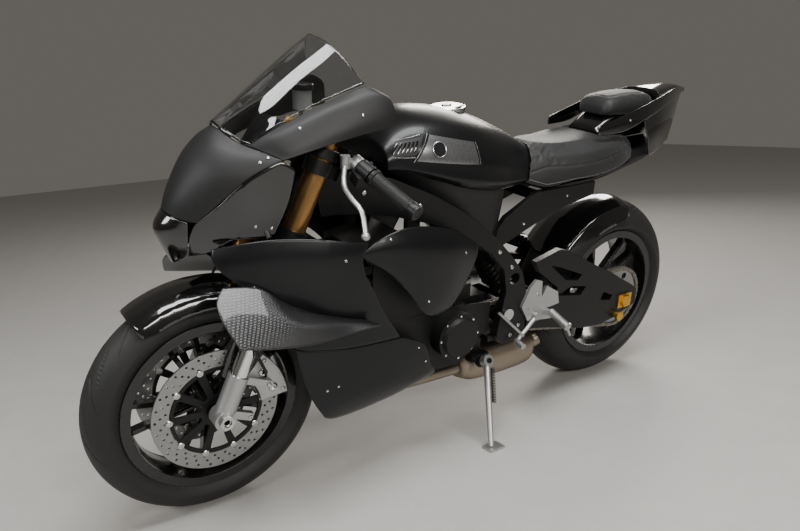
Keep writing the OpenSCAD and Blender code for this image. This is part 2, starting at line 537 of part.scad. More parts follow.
belly = [
    [[1240, 172, 469], [1215, 176, 461], [1175, 182, 454], [1110, 190, 446], [1030, 188, 439], [942, 176, 429]],
    [[1228, 172, 410], [1205, 178, 405], [1160, 184, 398], [1085, 190, 392], [980, 186, 388], [850, 168, 385]],
    [[1212, 174, 350], [1188, 180, 346], [1140, 186, 340], [1060, 190, 335], [950, 184, 330], [835, 166, 325]],
    [[1190, 178, 298], [1165, 182, 290], [1115, 184, 283], [1035, 184, 280], [930, 176, 278], [810, 158, 290]],
    [[1166, 176, 262], [1140, 172, 248], [1090, 160, 235], [1010, 150, 232], [910, 140, 238], [790, 135, 262]],
    [[1150, 150, 240], [1120, 135, 222], [1075, 110, 208], [1000, 90, 205], [900, 85, 212], [775, 95, 240]]];
module side_fairings() color("#141414") park() mirrored() sheet(side_panel, -panel, 3, 2);
module belly_fairing() color("#171717") park() mirrored() sheet(belly, -panel, 3, 2);
wing = [
    [[1402, 144, 648], [1355, 154, 645], [1310, 166, 632], [1262, 183, 585], [1160, 197, 545], [1060, 199, 512]],
    [[1428, 172, 628], [1370, 187, 618], [1310, 202, 600], [1250, 218, 565], [1150, 220, 536], [1052, 214, 510]],
    [[1428, 215, 594], [1370, 225, 585], [1300, 234, 570], [1235, 240, 548], [1145, 230, 527], [1045, 220, 508]],
    [[1412, 262, 552], [1360, 265, 540], [1290, 266, 528], [1225, 258, 518], [1140, 244, 512], [1036, 228, 506]]];
module winglets() color("#3a3a3a") park() mirrored() sheet(wing, -panel, 3, 2);
scoop = [
    [[1086, 210, 694], [1040, 212, 722], [975, 208, 738], [900, 200, 732], [800, 190, 704], [700, 178, 644]],
    [[1084, 211, 690], [1035, 222, 700], [965, 226, 705], [890, 222, 695], [800, 210, 665], [708, 186, 618]],
    [[1080, 211, 686], [1028, 222, 672], [955, 230, 660], [885, 228, 640], [805, 214, 600], [735, 190, 565]],
    [[1074, 209, 680], [1015, 214, 645], [945, 218, 600], [890, 214, 560], [830, 204, 520], [780, 186, 490]],
    [[1066, 204, 668], [1000, 204, 628], [935, 204, 560], [895, 200, 505], [860, 192, 478], [825, 182, 470]]];
module side_scoops() color("#2c2c2c") park() mirrored() sheet(scoop, -panel, 3, 2);

module tank_body()
    body([
    [972, [[0, 934], [60, 931], [110, 918], [134, 896], [138, 877], [126, 864], [0, 862]]],
    [930, [[0, 975], [60, 970], [115, 950], [146, 914], [152, 882], [140, 860], [0, 858]]],
    [870, [[0, 997], [60, 991], [120, 968], [158, 920], [166, 874], [152, 842], [0, 838]]],
    [780, [[0, 997], [60, 991], [125, 963], [166, 908], [175, 856], [162, 812], [0, 806]]],
    [690, [[0, 981], [60, 976], [122, 945], [160, 890], [168, 840], [156, 788], [0, 782]]],
    [600, [[0, 955], [55, 948], [108, 915], [140, 865], [146, 820], [136, 774], [0, 770]]],
    [500, [[0, 912], [50, 903], [86, 873], [104, 835], [108, 800], [102, 768], [0, 762]]],
    [408, [[0, 864], [40, 856], [64, 836], [76, 810], [80, 786], [74, 764], [0, 758]]]], 2, 3);
module fuel_tank() color("#2a2a2a") park() difference() {
    tank_body();
    at([693, 0, 970]) rotate([0, 5, 0]) cylinder(h = 60, r = cap_radius + 0.3);
}
module fuel_cap() color("#c0c0c0") park() at([693, 0, 970]) rotate([0, 5, 0]) {
    cylinder(h = 16, r = cap_radius);
    translate([0, 0, 16]) cylinder(h = 4, r1 = cap_radius - 8, r2 = cap_radius - 12);
}
module rider_seat() color("#202020") park() difference() {
    body([
    [474, [[0, 866], [40, 860], [66, 842], [86, 812], [98, 776], [84, 770], [0, 770]]],
    [400, [[0, 872], [60, 868], [102, 845], [120, 800], [124, 756], [106, 748], [0, 758]]],
    [300, [[0, 868], [80, 868], [126, 845], [142, 805], [142, 770], [126, 764], [0, 768]]],
    [200, [[0, 878], [90, 876], [136, 853], [148, 815], [146, 774], [130, 768], [0, 774]]],
    [100, [[0, 888], [90, 883], [130, 858], [142, 826], [140, 792], [126, 784], [0, 786]]],
    [30, [[0, 890], [80, 880], [112, 858], [122, 835], [120, 808], [108, 802], [0, 804]]]], 2, 3);
    tank_body();
    block([20, -90, 871], [150, 90, 920]);
}
module hump() body([
    [140, [[0, 900], [40, 898], [56, 890], [60, 878], [0, 870]]],
    [60, [[0, 948], [52, 944], [66, 925], [66, 885], [0, 872]]],
    [-40, [[0, 985], [58, 980], [74, 950], [72, 905], [0, 885]]],
    [-126, [[0, 1006], [60, 1001], [74, 974], [66, 925], [0, 900]]],
    [-200, [[0, 1014], [46, 1008], [56, 984], [46, 948], [0, 928]]],
    [-265, [[0, 1015], [30, 1011], [38, 994], [30, 968], [0, 950]]],
    [-334, [[0, 1000], [12, 999], [16, 992], [12, 984], [0, 978]]]], 2, 2);
module tail_cowl() color("#0f0f0f") park() difference() {
    hump();
    block([-124, -100, 930], [150, 100, 1030]);
}
rail = [
    [[188, 101, 912], [100, 106, 936], [0, 106, 964], [-120, 86, 990], [-230, 50, 1006], [-318, 16, 1001]],
    [[190, 104, 898], [92, 111, 914], [-4, 112, 944], [-110, 93, 970], [-215, 58, 986], [-305, 22, 988]],
    [[188, 104, 886], [84, 112, 892], [-2, 116, 922], [-100, 97, 950], [-200, 64, 970], [-288, 28, 980]]];
blade = [
    [[-2, 116, 922], [-100, 97, 950], [-200, 64, 970], [-288, 28, 980]],
    [[-28, 120, 864], [-106, 103, 888], [-190, 72, 904], [-262, 38, 910]],
    [[-56, 113, 803], [-112, 96, 813], [-170, 74, 824], [-228, 50, 835]]];
module tail_wings() color("#0f0f0f") park() mirrored() {
    difference() { sheet(rail, -panel, 3, 2); hump(); }
    sheet(blade, -panel, 3, 3);
}
module undertail() color("#161616") park() body([
    [392, [[0, 747], [90, 747], [98, 744], [92, 741], [0, 738]]],
    [200, [[0, 764], [112, 764], [120, 756], [108, 746], [0, 744]]],
    [50, [[0, 796], [106, 792], [114, 784], [100, 774], [0, 772]]],
    [-60, [[0, 818], [98, 812], [105, 804], [94, 796], [0, 794]]],
    [-225, [[0, 840], [38, 839], [42, 832], [36, 824], [0, 822]]]], 2, 2);
module tail_light() color("#501010") park() difference() {
    body([
    [-306, [[0, 986], [12, 986], [15, 976], [12, 968], [0, 966]]],
    [-250, [[0, 970], [26, 966], [30, 946], [24, 932], [0, 928]]]], 1, 1);
    hump();
}
module pillion_pad() color("#232323") park() intersection() {
    body([
    [114, [[0, 960], [36, 957], [48, 946], [42, 930], [0, 926]]],
    [88, [[0, 992], [52, 985], [70, 960], [60, 930], [0, 924]]],
    [0, [[0, 1002], [60, 994], [76, 964], [66, 930], [0, 924]]],
    [-88, [[0, 1001], [56, 993], [70, 964], [60, 930], [0, 924]]],
    [-118, [[0, 986], [44, 980], [56, 960], [48, 930], [0, 926]]]], 2, 3);
    block([-130, -100, 930], [130, 100, 1030]);
}
module subframe() color("#191919") park() {
    mirrored() plate([[600, 612], [560, 590], [430, 640], [300, 682], [180, 704], [180, 747], [300, 743], [420, 740.5], [540, 680]], 92, 112);
    block([400, -92, 716], [436, 92, 737]);
    block([565, -134, 590], [595, 134, 612]);
}
module instrument_panel() color("#111111") park() at([1232, 0, 938]) rotate([0, -35, 0]) {
    translate([-14, -74, -34]) cube([28, 148, 92]);
}
module fairing_stay() color("#1a1a1a") park() {
    mirrored() {
        rod([1168, 18, 812], [1206, 30, 836], 8);
        rod([1199, 29, 832], [1304, 40, 860], 8);
        rod([1297, 40, 858], [1400, 36, 846], 8);
        rod([1393, 37, 849], [1454, 22, 812], 8);
        rod([1300, 40, 858], [1298, 134, 868], 6);
        rod([1302, 40, 860], [1290, 153, 750], 6);
    }
    rod([1240, -33, 843], [1240, 33, 843], 8);
    rod([1240, 0, 843], [1226, 0, 924], 9);
}

// ---------------------------------------------------------------- pegs and stand
module footrest() {
    plate([[448, 488], [470, 470], [500, 410], [470, 360], [400, 350], [355, 345], [355, 368], [395, 385],
           [420, 420], [425, 480]], 160, 170);
    rod([372, 170, 368], [378, 171 + peg_length, 350], 12);
    rod([378, 166 + peg_length, 351], [362, 168 + peg_length, 318], 4);
    plate([[395, 385], [420, 420], [400, 460], [350, 430], [340, 390]], 160, 168);
}
module footrest_pair() {
    footrest();
    rod([440, 176, 372], [520, 182, 310], 6);
    rod([520, 178, 310], [522, 215, 306], 9);
    rod([440, 166, 372], [440, 182, 372], 12);
    rod([500, 188, 326], [600, 180, 420], 4);
}
module footrests() color("#a5a5a5") park() {
    footrest_pair();
    mirror([0, 1, 0]) {
        footrest();
        rod([440, 176, 372], [540, 182, 330], 6);
        rod([540, 178, 330], [542, 215, 326], 9);
        rod([440, 166, 372], [440, 182, 372], 12);
    }
}
stand_pivot = [600, 146, 249];
foot = [675, 279, 45];
stand_axis = [0, 0.872, 0.489];
sole = lift + foot[2] * cos(lean) - foot[1] * ky * sin(lean) - foot[0] * kx * sin(pitch);
module side_stand() color("#c2c2c2") park() {
    difference() {
        union() {
            bar(q(stand_pivot) - 11 * stand_axis, q(stand_pivot) + 11 * stand_axis, 18);
            rod(stand_pivot, [foot[0] - 2, foot[1] - 3, foot[2] + 5], stand_radius + 2, stand_radius - 1);
        }
        bar(q(stand_pivot) - 14 * stand_axis, q(stand_pivot) + 14 * stand_axis, 8.05);
    }
    at(foot) rotate([lean, -pitch, 0]) translate([-34, -20, -sole]) cube([52, 40, 8]);
}
module stand_bracket() color("#1a1a1a") park() {
    bar(q(stand_pivot) - 34 * stand_axis, q(stand_pivot) - 13 * stand_axis, 18);
    bar(q(stand_pivot) - 22 * stand_axis, q(stand_pivot) + 16 * stand_axis, 8);
    block([575, 100, 244], [640, 126, 262]);
}

front_tyre();
front_rim();
front_discs();
rear_tyre();
rear_rim();
rear_disc();
rear_sprocket();
chain();
front_axle();
axle_lugs();
inner_tubes();
outer_tubes();
top_yoke();
lower_yoke();
handlebars();
clutch_lever();
brake_lever();
reservoir();
front_fender();
front_calipers();
rear_caliper();
brake_hoses();
frame();
engine();
engine_covers();
radiator();
exhaust_headers();
exhaust_chamber();
swingarm();
swingarm_pivot();
rear_axle();
rear_hugger();
rear_shock();
upper_cowl();
nose_lip();
nose_sides();
windscreen();
side_fairings();
belly_fairing();
winglets();
side_scoops();
fuel_tank();
fuel_cap();
rider_seat();
tail_cowl();
tail_wings();
undertail();
tail_light();
pillion_pad();
subframe();
instrument_panel();
fairing_stay();
footrests();
stand_bracket();
side_stand();
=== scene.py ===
# %% [markdown]
# # A sport motorcycle on its side stand
# The solid parts come ready made, at their true sizes, as a fixed frame. This lesson gives each of
# them its finish and adds what the frame leaves out: tread, drilled discs, chain links, screws,
# padded seats, ribbed grips and vents. All lengths are in metres, +X is forward, +Y is the rider's
# left and +Z is up. The motorcycle leans to its left, so most places are given in its own upright
# axes, in millimetres, and a matrix turns them into the leaning ones.

# %% Load the frame
import json
import math
import bpy
import bmesh
import numpy as np
from mathutils import Matrix, Vector
from mathutils.bvhtree import BVHTree

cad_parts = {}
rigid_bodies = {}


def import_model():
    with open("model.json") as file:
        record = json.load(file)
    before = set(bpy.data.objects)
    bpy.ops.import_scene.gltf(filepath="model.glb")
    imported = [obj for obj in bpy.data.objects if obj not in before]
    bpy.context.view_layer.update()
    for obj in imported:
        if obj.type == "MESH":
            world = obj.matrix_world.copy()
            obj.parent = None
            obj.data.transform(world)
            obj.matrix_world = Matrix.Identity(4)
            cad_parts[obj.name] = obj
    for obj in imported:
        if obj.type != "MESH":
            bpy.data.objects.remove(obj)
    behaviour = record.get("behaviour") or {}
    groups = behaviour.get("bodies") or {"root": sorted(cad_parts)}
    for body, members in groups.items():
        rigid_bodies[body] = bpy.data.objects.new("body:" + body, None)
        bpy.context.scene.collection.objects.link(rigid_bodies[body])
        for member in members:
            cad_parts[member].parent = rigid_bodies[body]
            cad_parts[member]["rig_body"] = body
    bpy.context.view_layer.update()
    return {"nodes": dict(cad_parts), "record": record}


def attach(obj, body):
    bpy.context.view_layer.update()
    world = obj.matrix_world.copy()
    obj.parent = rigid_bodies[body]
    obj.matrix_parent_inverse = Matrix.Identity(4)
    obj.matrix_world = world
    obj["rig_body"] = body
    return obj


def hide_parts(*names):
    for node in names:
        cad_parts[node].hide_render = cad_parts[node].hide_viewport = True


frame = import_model()
NODES = frame["nodes"]
JOINTS = {joint["name"]: joint for joint in frame["record"]["behaviour"]["joints"]}

# %% [markdown]
# The two axles give the leaning axes: the wheels' own axis is sideways, and the line from one axle to
# the other is forwards, once it is turned level, because the rear tyre is the bigger one.

# %% Short names for matrices

def shift(x, y, z):
    return Matrix.Translation((x, y, z))


def rotate(angle, axis):
    return Matrix.Rotation(angle, 4, axis)


def resize(x, y, z):
    return Matrix.Diagonal((x, y, z, 1))


# %% The motorcycle's own axes
FRONT_AXLE = Vector(JOINTS["front_wheel_turn"]["pos_m"])
REAR_AXLE = Vector(JOINTS["rear_wheel_turn"]["pos_m"])
SIDE = Vector(JOINTS["rear_wheel_turn"]["axis"]).normalized()
FRONT_R, REAR_R, WHEELBASE = 0.300, 0.3205, 1.405
AHEAD = (Matrix.Rotation(-math.atan2(REAR_R - FRONT_R, WHEELBASE), 3, SIDE)
         @ (FRONT_AXLE - REAR_AXLE)).normalized()
UP = AHEAD.cross(SIDE)
BIKE = Matrix((AHEAD, SIDE, UP)).transposed().to_4x4()
BIKE.translation = REAR_AXLE - UP * REAR_R
RAKE = math.radians(24)
FORK_HALF, STEERING_OFFSET = 0.107, 0.02884
FORK = (BIKE @ shift(WHEELBASE, 0, FRONT_R)) @ rotate(-RAKE, "Y")
FRONT_HUB = BIKE @ shift(WHEELBASE, 0, FRONT_R) @ rotate(-math.pi / 2, "X")
REAR_HUB = BIKE @ shift(0, 0, REAR_R) @ rotate(-math.pi / 2, "X")


def at(x, y, z):
    """A place given in millimetres in the upright motorcycle, as a point in the frame."""
    return BIKE @ Vector((x / 1000, y / 1000, z / 1000))


def way(x, y, z):
    """A direction in the upright motorcycle, as a direction in the frame."""
    return (BIKE.to_3x3() @ Vector((x, y, z))).normalized()


print("leans", round(math.degrees(math.acos(UP.z)), 2), "degrees")

# %% [markdown]
# The camera stands in front and to the left of the motorcycle, a little over a metre up, and looks down
# along it. It comes first, because everything else is judged through it.

# %% Camera
CAMERA_PLACE = Vector((1.2199, 1.5943, 1.0102))
YAW, PITCH, ROLL = -2.15258, -0.23431, -0.05458
view = Vector((math.cos(YAW) * math.cos(PITCH), math.sin(YAW) * math.cos(PITCH), math.sin(PITCH)))
right = view.cross(Vector((0, 0, 1))).normalized()
above = right.cross(view)
right, above = (math.cos(ROLL) * right + math.sin(ROLL) * above,
                math.cos(ROLL) * above - math.sin(ROLL) * right)
camera = bpy.data.objects.new("camera", bpy.data.cameras.new("camera"))
camera.matrix_world = Matrix.Translation(CAMERA_PLACE) @ Matrix((right, above, -view)).transposed().to_4x4()
camera.data.sensor_width, camera.data.lens = 36, 32.05
bpy.context.scene.collection.objects.link(camera)
bpy.context.scene.camera = camera
print("camera", tuple(round(v, 2) for v in CAMERA_PLACE))

# %% [markdown]
# Finishes. What several materials share is a node group, built once: uneven roughness from handling and
# wiping, a fine grain for the bump, thin dust on what faces up, a twill weave for carbon panels, brushed
# lines for turned and drawn metal, and the pebbled grain of seat cover. Each group has named inputs and
# puts out values only. The shader itself stays in the material.


# %% Helper for node groups
def group(name, inputs, outputs):
    """A new shader node group with float or vector inputs, and a helper that adds linked nodes."""
    tree = bpy.data.node_groups.new(name, "ShaderNodeTree")
    for label, kind, value in inputs:
        socket = tree.interface.new_socket(name=label, in_out="INPUT", socket_type="NodeSocket" + kind)
        if value is not None:
            socket.default_value = value
    for label, kind in outputs:
        tree.interface.new_socket(name=label, in_out="OUTPUT", socket_type="NodeSocket" + kind)
    return tree, tree.nodes.new("NodeGroupInput"), tree.nodes.new("NodeGroupOutput")


def add(tree, kind, links=(), **settings):
    """One node: links is a list of (input, socket or value)."""
    node = tree.nodes.new(kind)
    for key, value in settings.items():
        setattr(node, key, value)
    for key, value in links:
        if isinstance(value, bpy.types.NodeSocket):
            tree.links.new(value, node.inputs[key])
        else:
            node.inputs[key].default_value = value
    return node


def maths(tree, operation, *values):
    return add(tree, "ShaderNodeMath", enumerate(values), operation=operation).outputs[0]


# %% Uneven handling marks
tree, gi, go = group("handling",
                     [("Place", "Vector", None), ("Roughness", "Float", 0.3), ("Amount", "Float", 0.1)],
                     [("Roughness", "Float"), ("Mask", "Float")])
broad = add(tree, "ShaderNodeTexNoise",
            [("Vector", gi.outputs["Place"]), ("Scale", 9.0), ("Detail", 5.0), ("Roughness", 0.65)])
wiped = add(tree, "ShaderNodeTexNoise",
            [("Vector", gi.outputs["Place"]), ("Scale", 60.0), ("Detail", 3.0), ("Distortion", 1.5)])
mixed = maths(tree, "MULTIPLY_ADD", wiped.outputs[0], 0.4, maths(tree, "MULTIPLY", broad.outputs[0], 0.6))
swing = maths(tree, "MULTIPLY", maths(tree, "SUBTRACT", mixed, 0.5), gi.outputs["Amount"])
tree.links.new(maths(tree, "MULTIPLY_ADD", swing, 2.0, gi.outputs["Roughness"]), go.inputs["Roughness"])
tree.links.new(mixed, go.inputs["Mask"])
HANDLING = tree

# %% Fine grain
tree, gi, go = group("grain", [("Place", "Vector", None), ("Scale", "Float", 900.0),
                               ("Stretch", "Vector", (1, 1, 1))],
                     [("Height", "Float")])
spread = add(tree, "ShaderNodeVectorMath", [(0, gi.outputs["Place"]), (1, gi.outputs["Stretch"])],
             operation="MULTIPLY")
fine = add(tree, "ShaderNodeTexNoise",
           [("Vector", spread.outputs[0]), ("Scale", gi.outputs["Scale"]), ("Detail", 4.0)])
tree.links.new(fine.outputs[0], go.inputs["Height"])
GRAIN = tree

# %% Thin dust on what faces up
tree, gi, go = group("dust", [("Place", "Vector", None), ("Colour", "Color", (0, 0, 0, 1)),
                              ("Amount", "Float", 0.1)],
                     [("Colour", "Color")])
normal = add(tree, "ShaderNodeNewGeometry").outputs["Normal"]
height = add(tree, "ShaderNodeSeparateXYZ", [(0, normal)]).outputs["Z"]
cloud = add(tree, "ShaderNodeTexNoise",
            [("Vector", gi.outputs["Place"]), ("Scale", 25.0), ("Detail", 6.0)]).outputs[0]
settled = maths(tree, "MULTIPLY", maths(tree, "MAXIMUM", height, 0.0),
                maths(tree, "MULTIPLY", cloud, gi.outputs["Amount"]))
dusty = add(tree, "ShaderNodeMix", [(0, settled), (6, gi.outputs["Colour"]), (7, (0.36, 0.34, 0.31, 1))],
            data_type="RGBA")
tree.links.new(dusty.outputs[2], go.inputs["Colour"])
DUST = tree

# %% Twill weave of carbon fibre
tree, gi, go = group("twill", [("Place", "Vector", None), ("Threads per metre", "Float", 420.0)],
                     [("Shade", "Float"), ("Height", "Float")])
axes = add(tree, "ShaderNodeSeparateXYZ", [(0, gi.outputs["Place"])])
across = maths(tree, "MULTIPLY", axes.outputs["X"], gi.outputs["Threads per metre"])
along = maths(tree, "MULTIPLY",
              maths(tree, "ADD", axes.outputs["Z"], maths(tree, "MULTIPLY", axes.outputs["Y"], 0.6)),
              gi.outputs["Threads per metre"])
step = maths(tree, "ADD", maths(tree, "FLOOR", across), maths(tree, "FLOOR", along))
over = maths(tree, "LESS_THAN", maths(tree, "FLOORED_MODULO", step, 4.0), 2.0)
warp = maths(tree, "SINE", maths(tree, "MULTIPLY", across, 6.2832))
weft = maths(tree, "SINE", maths(tree, "MULTIPLY", along, 6.2832))
thread = add(tree, "ShaderNodeMix", [(0, over), (2, warp), (3, weft)], data_type="FLOAT").outputs[0]
tree.links.new(over, go.inputs["Shade"])
tree.links.new(thread, go.inputs["Height"])
TWILL = tree

# %% Pebbled grain of seat cover
tree, gi, go = group("pebble", [("Place", "Vector", None), ("Scale", "Float", 700.0)],
                     [("Height", "Float")])
cells = add(tree, "ShaderNodeTexVoronoi", [("Vector", gi.outputs["Place"]), ("Scale", gi.outputs["Scale"])],
            feature="DISTANCE_TO_EDGE").outputs["Distance"]
tree.links.new(maths(tree, "SMOOTH_MIN", cells, 0.25, 0.1), go.inputs["Height"])
PEBBLE = tree
print("shader groups:", [g.name for g in bpy.data.node_groups])


# %% One function for all the materials
def finish(name, colour, rough, metal=0.0, coat=0.0, marks=0.08, dust=0.06, grain=(900, 0.04),
           stretch=(1, 1, 1), relief=None, second=None, see_through=0.0, sheen=0.0):
    """grain is (scale, bump), relief is (group, scale, bump), second is the weave's other colour."""
    mat = bpy.data.materials.new(name)
    mat.use_nodes = True
    tree = mat.node_tree
    shader = tree.nodes["Principled BSDF"]
    place = add(tree, "ShaderNodeTexCoord").outputs["Object"]
    handling = add(tree, "ShaderNodeGroup", node_tree=HANDLING)
    tree.links.new(place, handling.inputs["Place"])
    handling.inputs["Roughness"].default_value = rough
    handling.inputs["Amount"].default_value = marks
    tree.links.new(handling.outputs["Roughness"], shader.inputs["Roughness"])
    tint = add(tree, "ShaderNodeMix", [(0, handling.outputs["Mask"]), (6, (*[c * 0.86 for c in colour], 1)),
                                       (7, (*[min(1, c * 1.14) for c in colour], 1))],
               data_type="RGBA").outputs[2]
    heights = add(tree, "ShaderNodeGroup", node_tree=GRAIN)
    tree.links.new(place, heights.inputs["Place"])
    heights.inputs["Scale"].default_value = grain[0]
    heights.inputs["Stretch"].default_value = stretch
    bump = add(tree, "ShaderNodeBump",
               [("Strength", grain[1]), ("Distance", 0.001), ("Height", heights.outputs[0])])
    if relief:
        weave = add(tree, "ShaderNodeGroup", node_tree=relief[0])
        tree.links.new(place, weave.inputs["Place"])
        weave.inputs[1].default_value = relief[1]
        bump = add(tree, "ShaderNodeBump", [("Strength", relief[2]), ("Distance", 0.001),
                                            ("Height", weave.outputs["Height"]),
                                            ("Normal", bump.outputs[0])])
        if second:
            tint = add(tree, "ShaderNodeMix", [(0, weave.outputs["Shade"]), (6, tint), (7, (*second, 1))],
                       data_type="RGBA").outputs[2]
    dusting = add(tree, "ShaderNodeGroup", node_tree=DUST)
    tree.links.new(place, dusting.inputs["Place"])
    tree.links.new(tint, dusting.inputs["Colour"])
    dusting.inputs["Amount"].default_value = dust
    tree.links.new(dusting.outputs[0], shader.inputs["Base Color"])
    tree.links.new(bump.outputs[0], shader.inputs["Normal"])
    shader.inputs["Metallic"].default_value = metal
    shader.inputs["Coat Weight"].default_value = coat
    shader.inputs["Coat Roughness"].default_value = 0.04
    if max(colour) < 0.02 and not coat:  # uncoated blacks shine less
        shader.inputs["Specular IOR Level"].default_value = 0.36
    shader.inputs["Transmission Weight"].default_value = see_through
    shader.inputs["Sheen Weight"].default_value = sheen
    return mat


# %% The finishes of this motorcycle
RUBBER = finish("tyre_rubber", (0.012, 0.012, 0.0125), 0.56, marks=0.12, dust=0.07, grain=(1400, 0.22))
SOFT = finish("grip_rubber", (0.010, 0.010, 0.010), 0.5, dust=0.02, grain=(1500, 0.2))
WHEEL = finish("wheel_black", (0.005, 0.005, 0.005), 0.26, metal=0.2, coat=0.35, dust=0.015,
               grain=(600, 0.05))
BLACK = finish("frame_black", (0.007, 0.007, 0.0075), 0.38, metal=0.3, marks=0.1, dust=0.02,
               grain=(1100, 0.16))
CAST = finish("engine_black", (0.009, 0.009, 0.009), 0.45, metal=0.3, dust=0.03, grain=(420, 0.3))
GLOSS = finish("gloss_black", (0.0025, 0.0025, 0.0028), 0.14, coat=1.0, marks=0.03, dust=0.008,
               grain=(300, 0.012))
SATIN = finish("satin_black", (0.010, 0.0105, 0.0115), 0.31, metal=0.6, coat=0.12, marks=0.05, dust=0.01,
               grain=(1600, 0.04))
MATTE = finish("matte_black", (0.009, 0.009, 0.0095), 0.5, marks=0.06, dust=0.015, grain=(1300, 0.14))
CARBON = finish("carbon_twill", (0.005, 0.005, 0.005), 0.34, coat=0.3, marks=0.03, dust=0.01,
                relief=(TWILL, 400.0, 0.22), second=(0.014, 0.014, 0.0155))
SCREEN = finish("smoke_screen", (0.62, 0.64, 0.66), 0.03, marks=0.02, dust=0.0, grain=(40, 0.01),
                see_through=1.0)
STEEL = finish("ground_steel", (0.30, 0.30, 0.295), 0.32, metal=1.0, marks=0.12, grain=(500, 0.12),
               stretch=(1, 12, 1))
BRIGHT = finish("bright_steel", (0.55, 0.55, 0.54), 0.24, metal=1.0, marks=0.1, grain=(900, 0.05))
LINK = finish("chain_steel", (0.22, 0.2, 0.17), 0.4, metal=0.9, marks=0.2, dust=0.1, grain=(1200, 0.2))
SILVER = finish("cast_silver", (0.42, 0.42, 0.42), 0.36, metal=0.85, marks=0.1, grain=(900, 0.25))
CHROME = finish("hard_chrome", (0.78, 0.78, 0.78), 0.1, metal=1.0, marks=0.05, grain=(700, 0.02))
BRONZE = finish("bronze_anodised", (0.34, 0.19, 0.07), 0.3, metal=0.95, marks=0.06, grain=(1100, 0.06))
GOLD = finish("gold_anodised", (0.62, 0.36, 0.06), 0.28, metal=0.95, grain=(1100, 0.05))
TITANIUM = finish("heat_tinted_steel", (0.3, 0.25, 0.19), 0.34, metal=0.9, marks=0.16, grain=(260, 0.15))
LAMP = finish("lamp_red", (0.12, 0.004, 0.004), 0.12, coat=1.0, grain=(200, 0.05))
FLUID = finish("fluid_grey", (0.32, 0.32, 0.3), 0.35, marks=0.06, grain=(500, 0.05), see_through=0.25)
FINS = finish("fin_black", (0.012, 0.012, 0.012), 0.5, metal=0.6, dust=0.02, grain=(900, 0.3),
              stretch=(0.02, 0.02, 1))
GLASS_BLACK = finish("display_glass", (0.006, 0.006, 0.008), 0.08, coat=1.0, marks=0.02, grain=(100, 0.01))
HIDE = finish("seat_cover", (0.007, 0.007, 0.0075), 0.52, marks=0.08, dust=0.02,
              relief=(PEBBLE, 620.0, 0.4), sheen=0.1)
# Grey metallic for the knee panels and edge lines. The panels are grey metallic, and the base colour is
# raised above that grey as painted reflection.
PAINTED_SHEEN_GREY = finish("grey_metallic_painted_sheen", (0.26, 0.264, 0.275), 0.27, metal=0.9, coat=0.2, marks=0.05, dust=0.01,
               grain=(1600, 0.04))
GREASE = finish("spring_black", (0.012, 0.012, 0.012), 0.36, metal=0.4, grain=(800, 0.1))
print(len(bpy.data.materials), "materials")

# %% [markdown]
# The frame's parts are loose triangles. Two ways of treating them are used here. A hard part, such as a
# yoke or a frame plate, keeps its own mesh: modifiers join its triangles, round its edges by about a
# millimetre and shade what is curved as curved. A skin, such as a tank or a fairing, was drawn from a few
# sections, so it gets a copy with its facets turned back into squares and subdivided into a smooth
# surface, with its rims kept crisp.


# %% Geometry nodes that join triangles and shade by angle
def join_tree():
    tree = bpy.data.node_groups.new("join_and_shade", "GeometryNodeTree")
    tree.interface.new_socket(name="Geometry", in_out="INPUT", socket_type="NodeSocketGeometry")
    for label, value in (("Gap", 2e-5), ("Sharp", 0.6)):
        tree.interface.new_socket(name=label, in_out="INPUT",
                                  socket_type="NodeSocketFloat").default_value = value
    tree.interface.new_socket(name="Geometry", in_out="OUTPUT", socket_type="NodeSocketGeometry")
    gi, go = tree.nodes.new("NodeGroupInput"), tree.nodes.new("NodeGroupOutput")
    merge = add(tree, "GeometryNodeMergeByDistance",
                [("Geometry", gi.outputs["Geometry"]), ("Distance", gi.outputs["Gap"])])
    angle = add(tree, "GeometryNodeInputMeshEdgeAngle").outputs["Unsigned Angle"]
    sharp = add(tree, "FunctionNodeCompare", [(0, angle), (1, gi.outputs["Sharp"])],
                operation="GREATER_THAN").outputs[0]
    faces = add(tree, "GeometryNodeSetShadeSmooth", [("Geometry", merge.outputs[0])], domain="FACE")
    edges = add(tree, "GeometryNodeSetShadeSmooth", [("Geometry", faces.outputs[0]), ("Selection", sharp),
                                                     ("Shade Smooth", False)], domain="EDGE")
    tree.links.new(edges.outputs[0], go.inputs[0])
    return tree


JOIN = join_tree()


def paint(piece, *mats):
    piece.data.materials.clear()
    for mat in mats:
        piece.data.materials.append(mat)


def harden(names, mat, edge=0.0011):
    """Hard CAD parts keep their meshes, and get joined, shaded and slightly rounded by modifiers."""
    for name in names:
        part = NODES[name]
        paint(part, mat)
        part.modifiers.new("join", "NODES").node_group = JOIN
        bevel = part.modifiers.new("round", "BEVEL")
        bevel.width, bevel.segments = edge, 2
        bevel.limit_method, bevel.angle_limit = "ANGLE", math.radians(38)
        bevel.harden_normals = True
        bevel.use_clamp_overlap = True
    print("hard parts:", ", ".join(names))


def placed(name, data):
    """A new object in the scene, at the origin."""
    obj = bpy.data.objects.new(name, data)
    bpy.context.scene.collection.objects.link(obj)
    return obj


def piece(name, mesh, mat, body, slot=None):
    """A new object at the origin that rides on a body."""
    obj = placed(name, mesh)
    if mat:
        paint(obj, mat)
    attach(obj, body)
    return obj


def baked(obj):
    """The object's evaluated shape as a plain mesh."""
    bpy.context.view_layer.update()
    return bpy.data.meshes.new_from_object(obj.evaluated_get(bpy.context.evaluated_depsgraph_get()))


def shade(mesh, degrees=40):
    for polygon in mesh.polygons:
        polygon.use_smooth = True
    mesh.set_sharp_from_angle(angle=math.radians(degrees))


def closed_mesh(name, verts, faces):
    """A mesh from points and faces, with every face turned outwards."""
    mesh = bpy.data.meshes.new(name)
    mesh.from_pydata([tuple(v) for v in verts], [], faces)
    bm = bmesh.new()
    bm.from_mesh(mesh)
    bmesh.ops.recalc_face_normals(bm, faces=bm.faces)
    bm.to_mesh(mesh)
    bm.free()
    return mesh


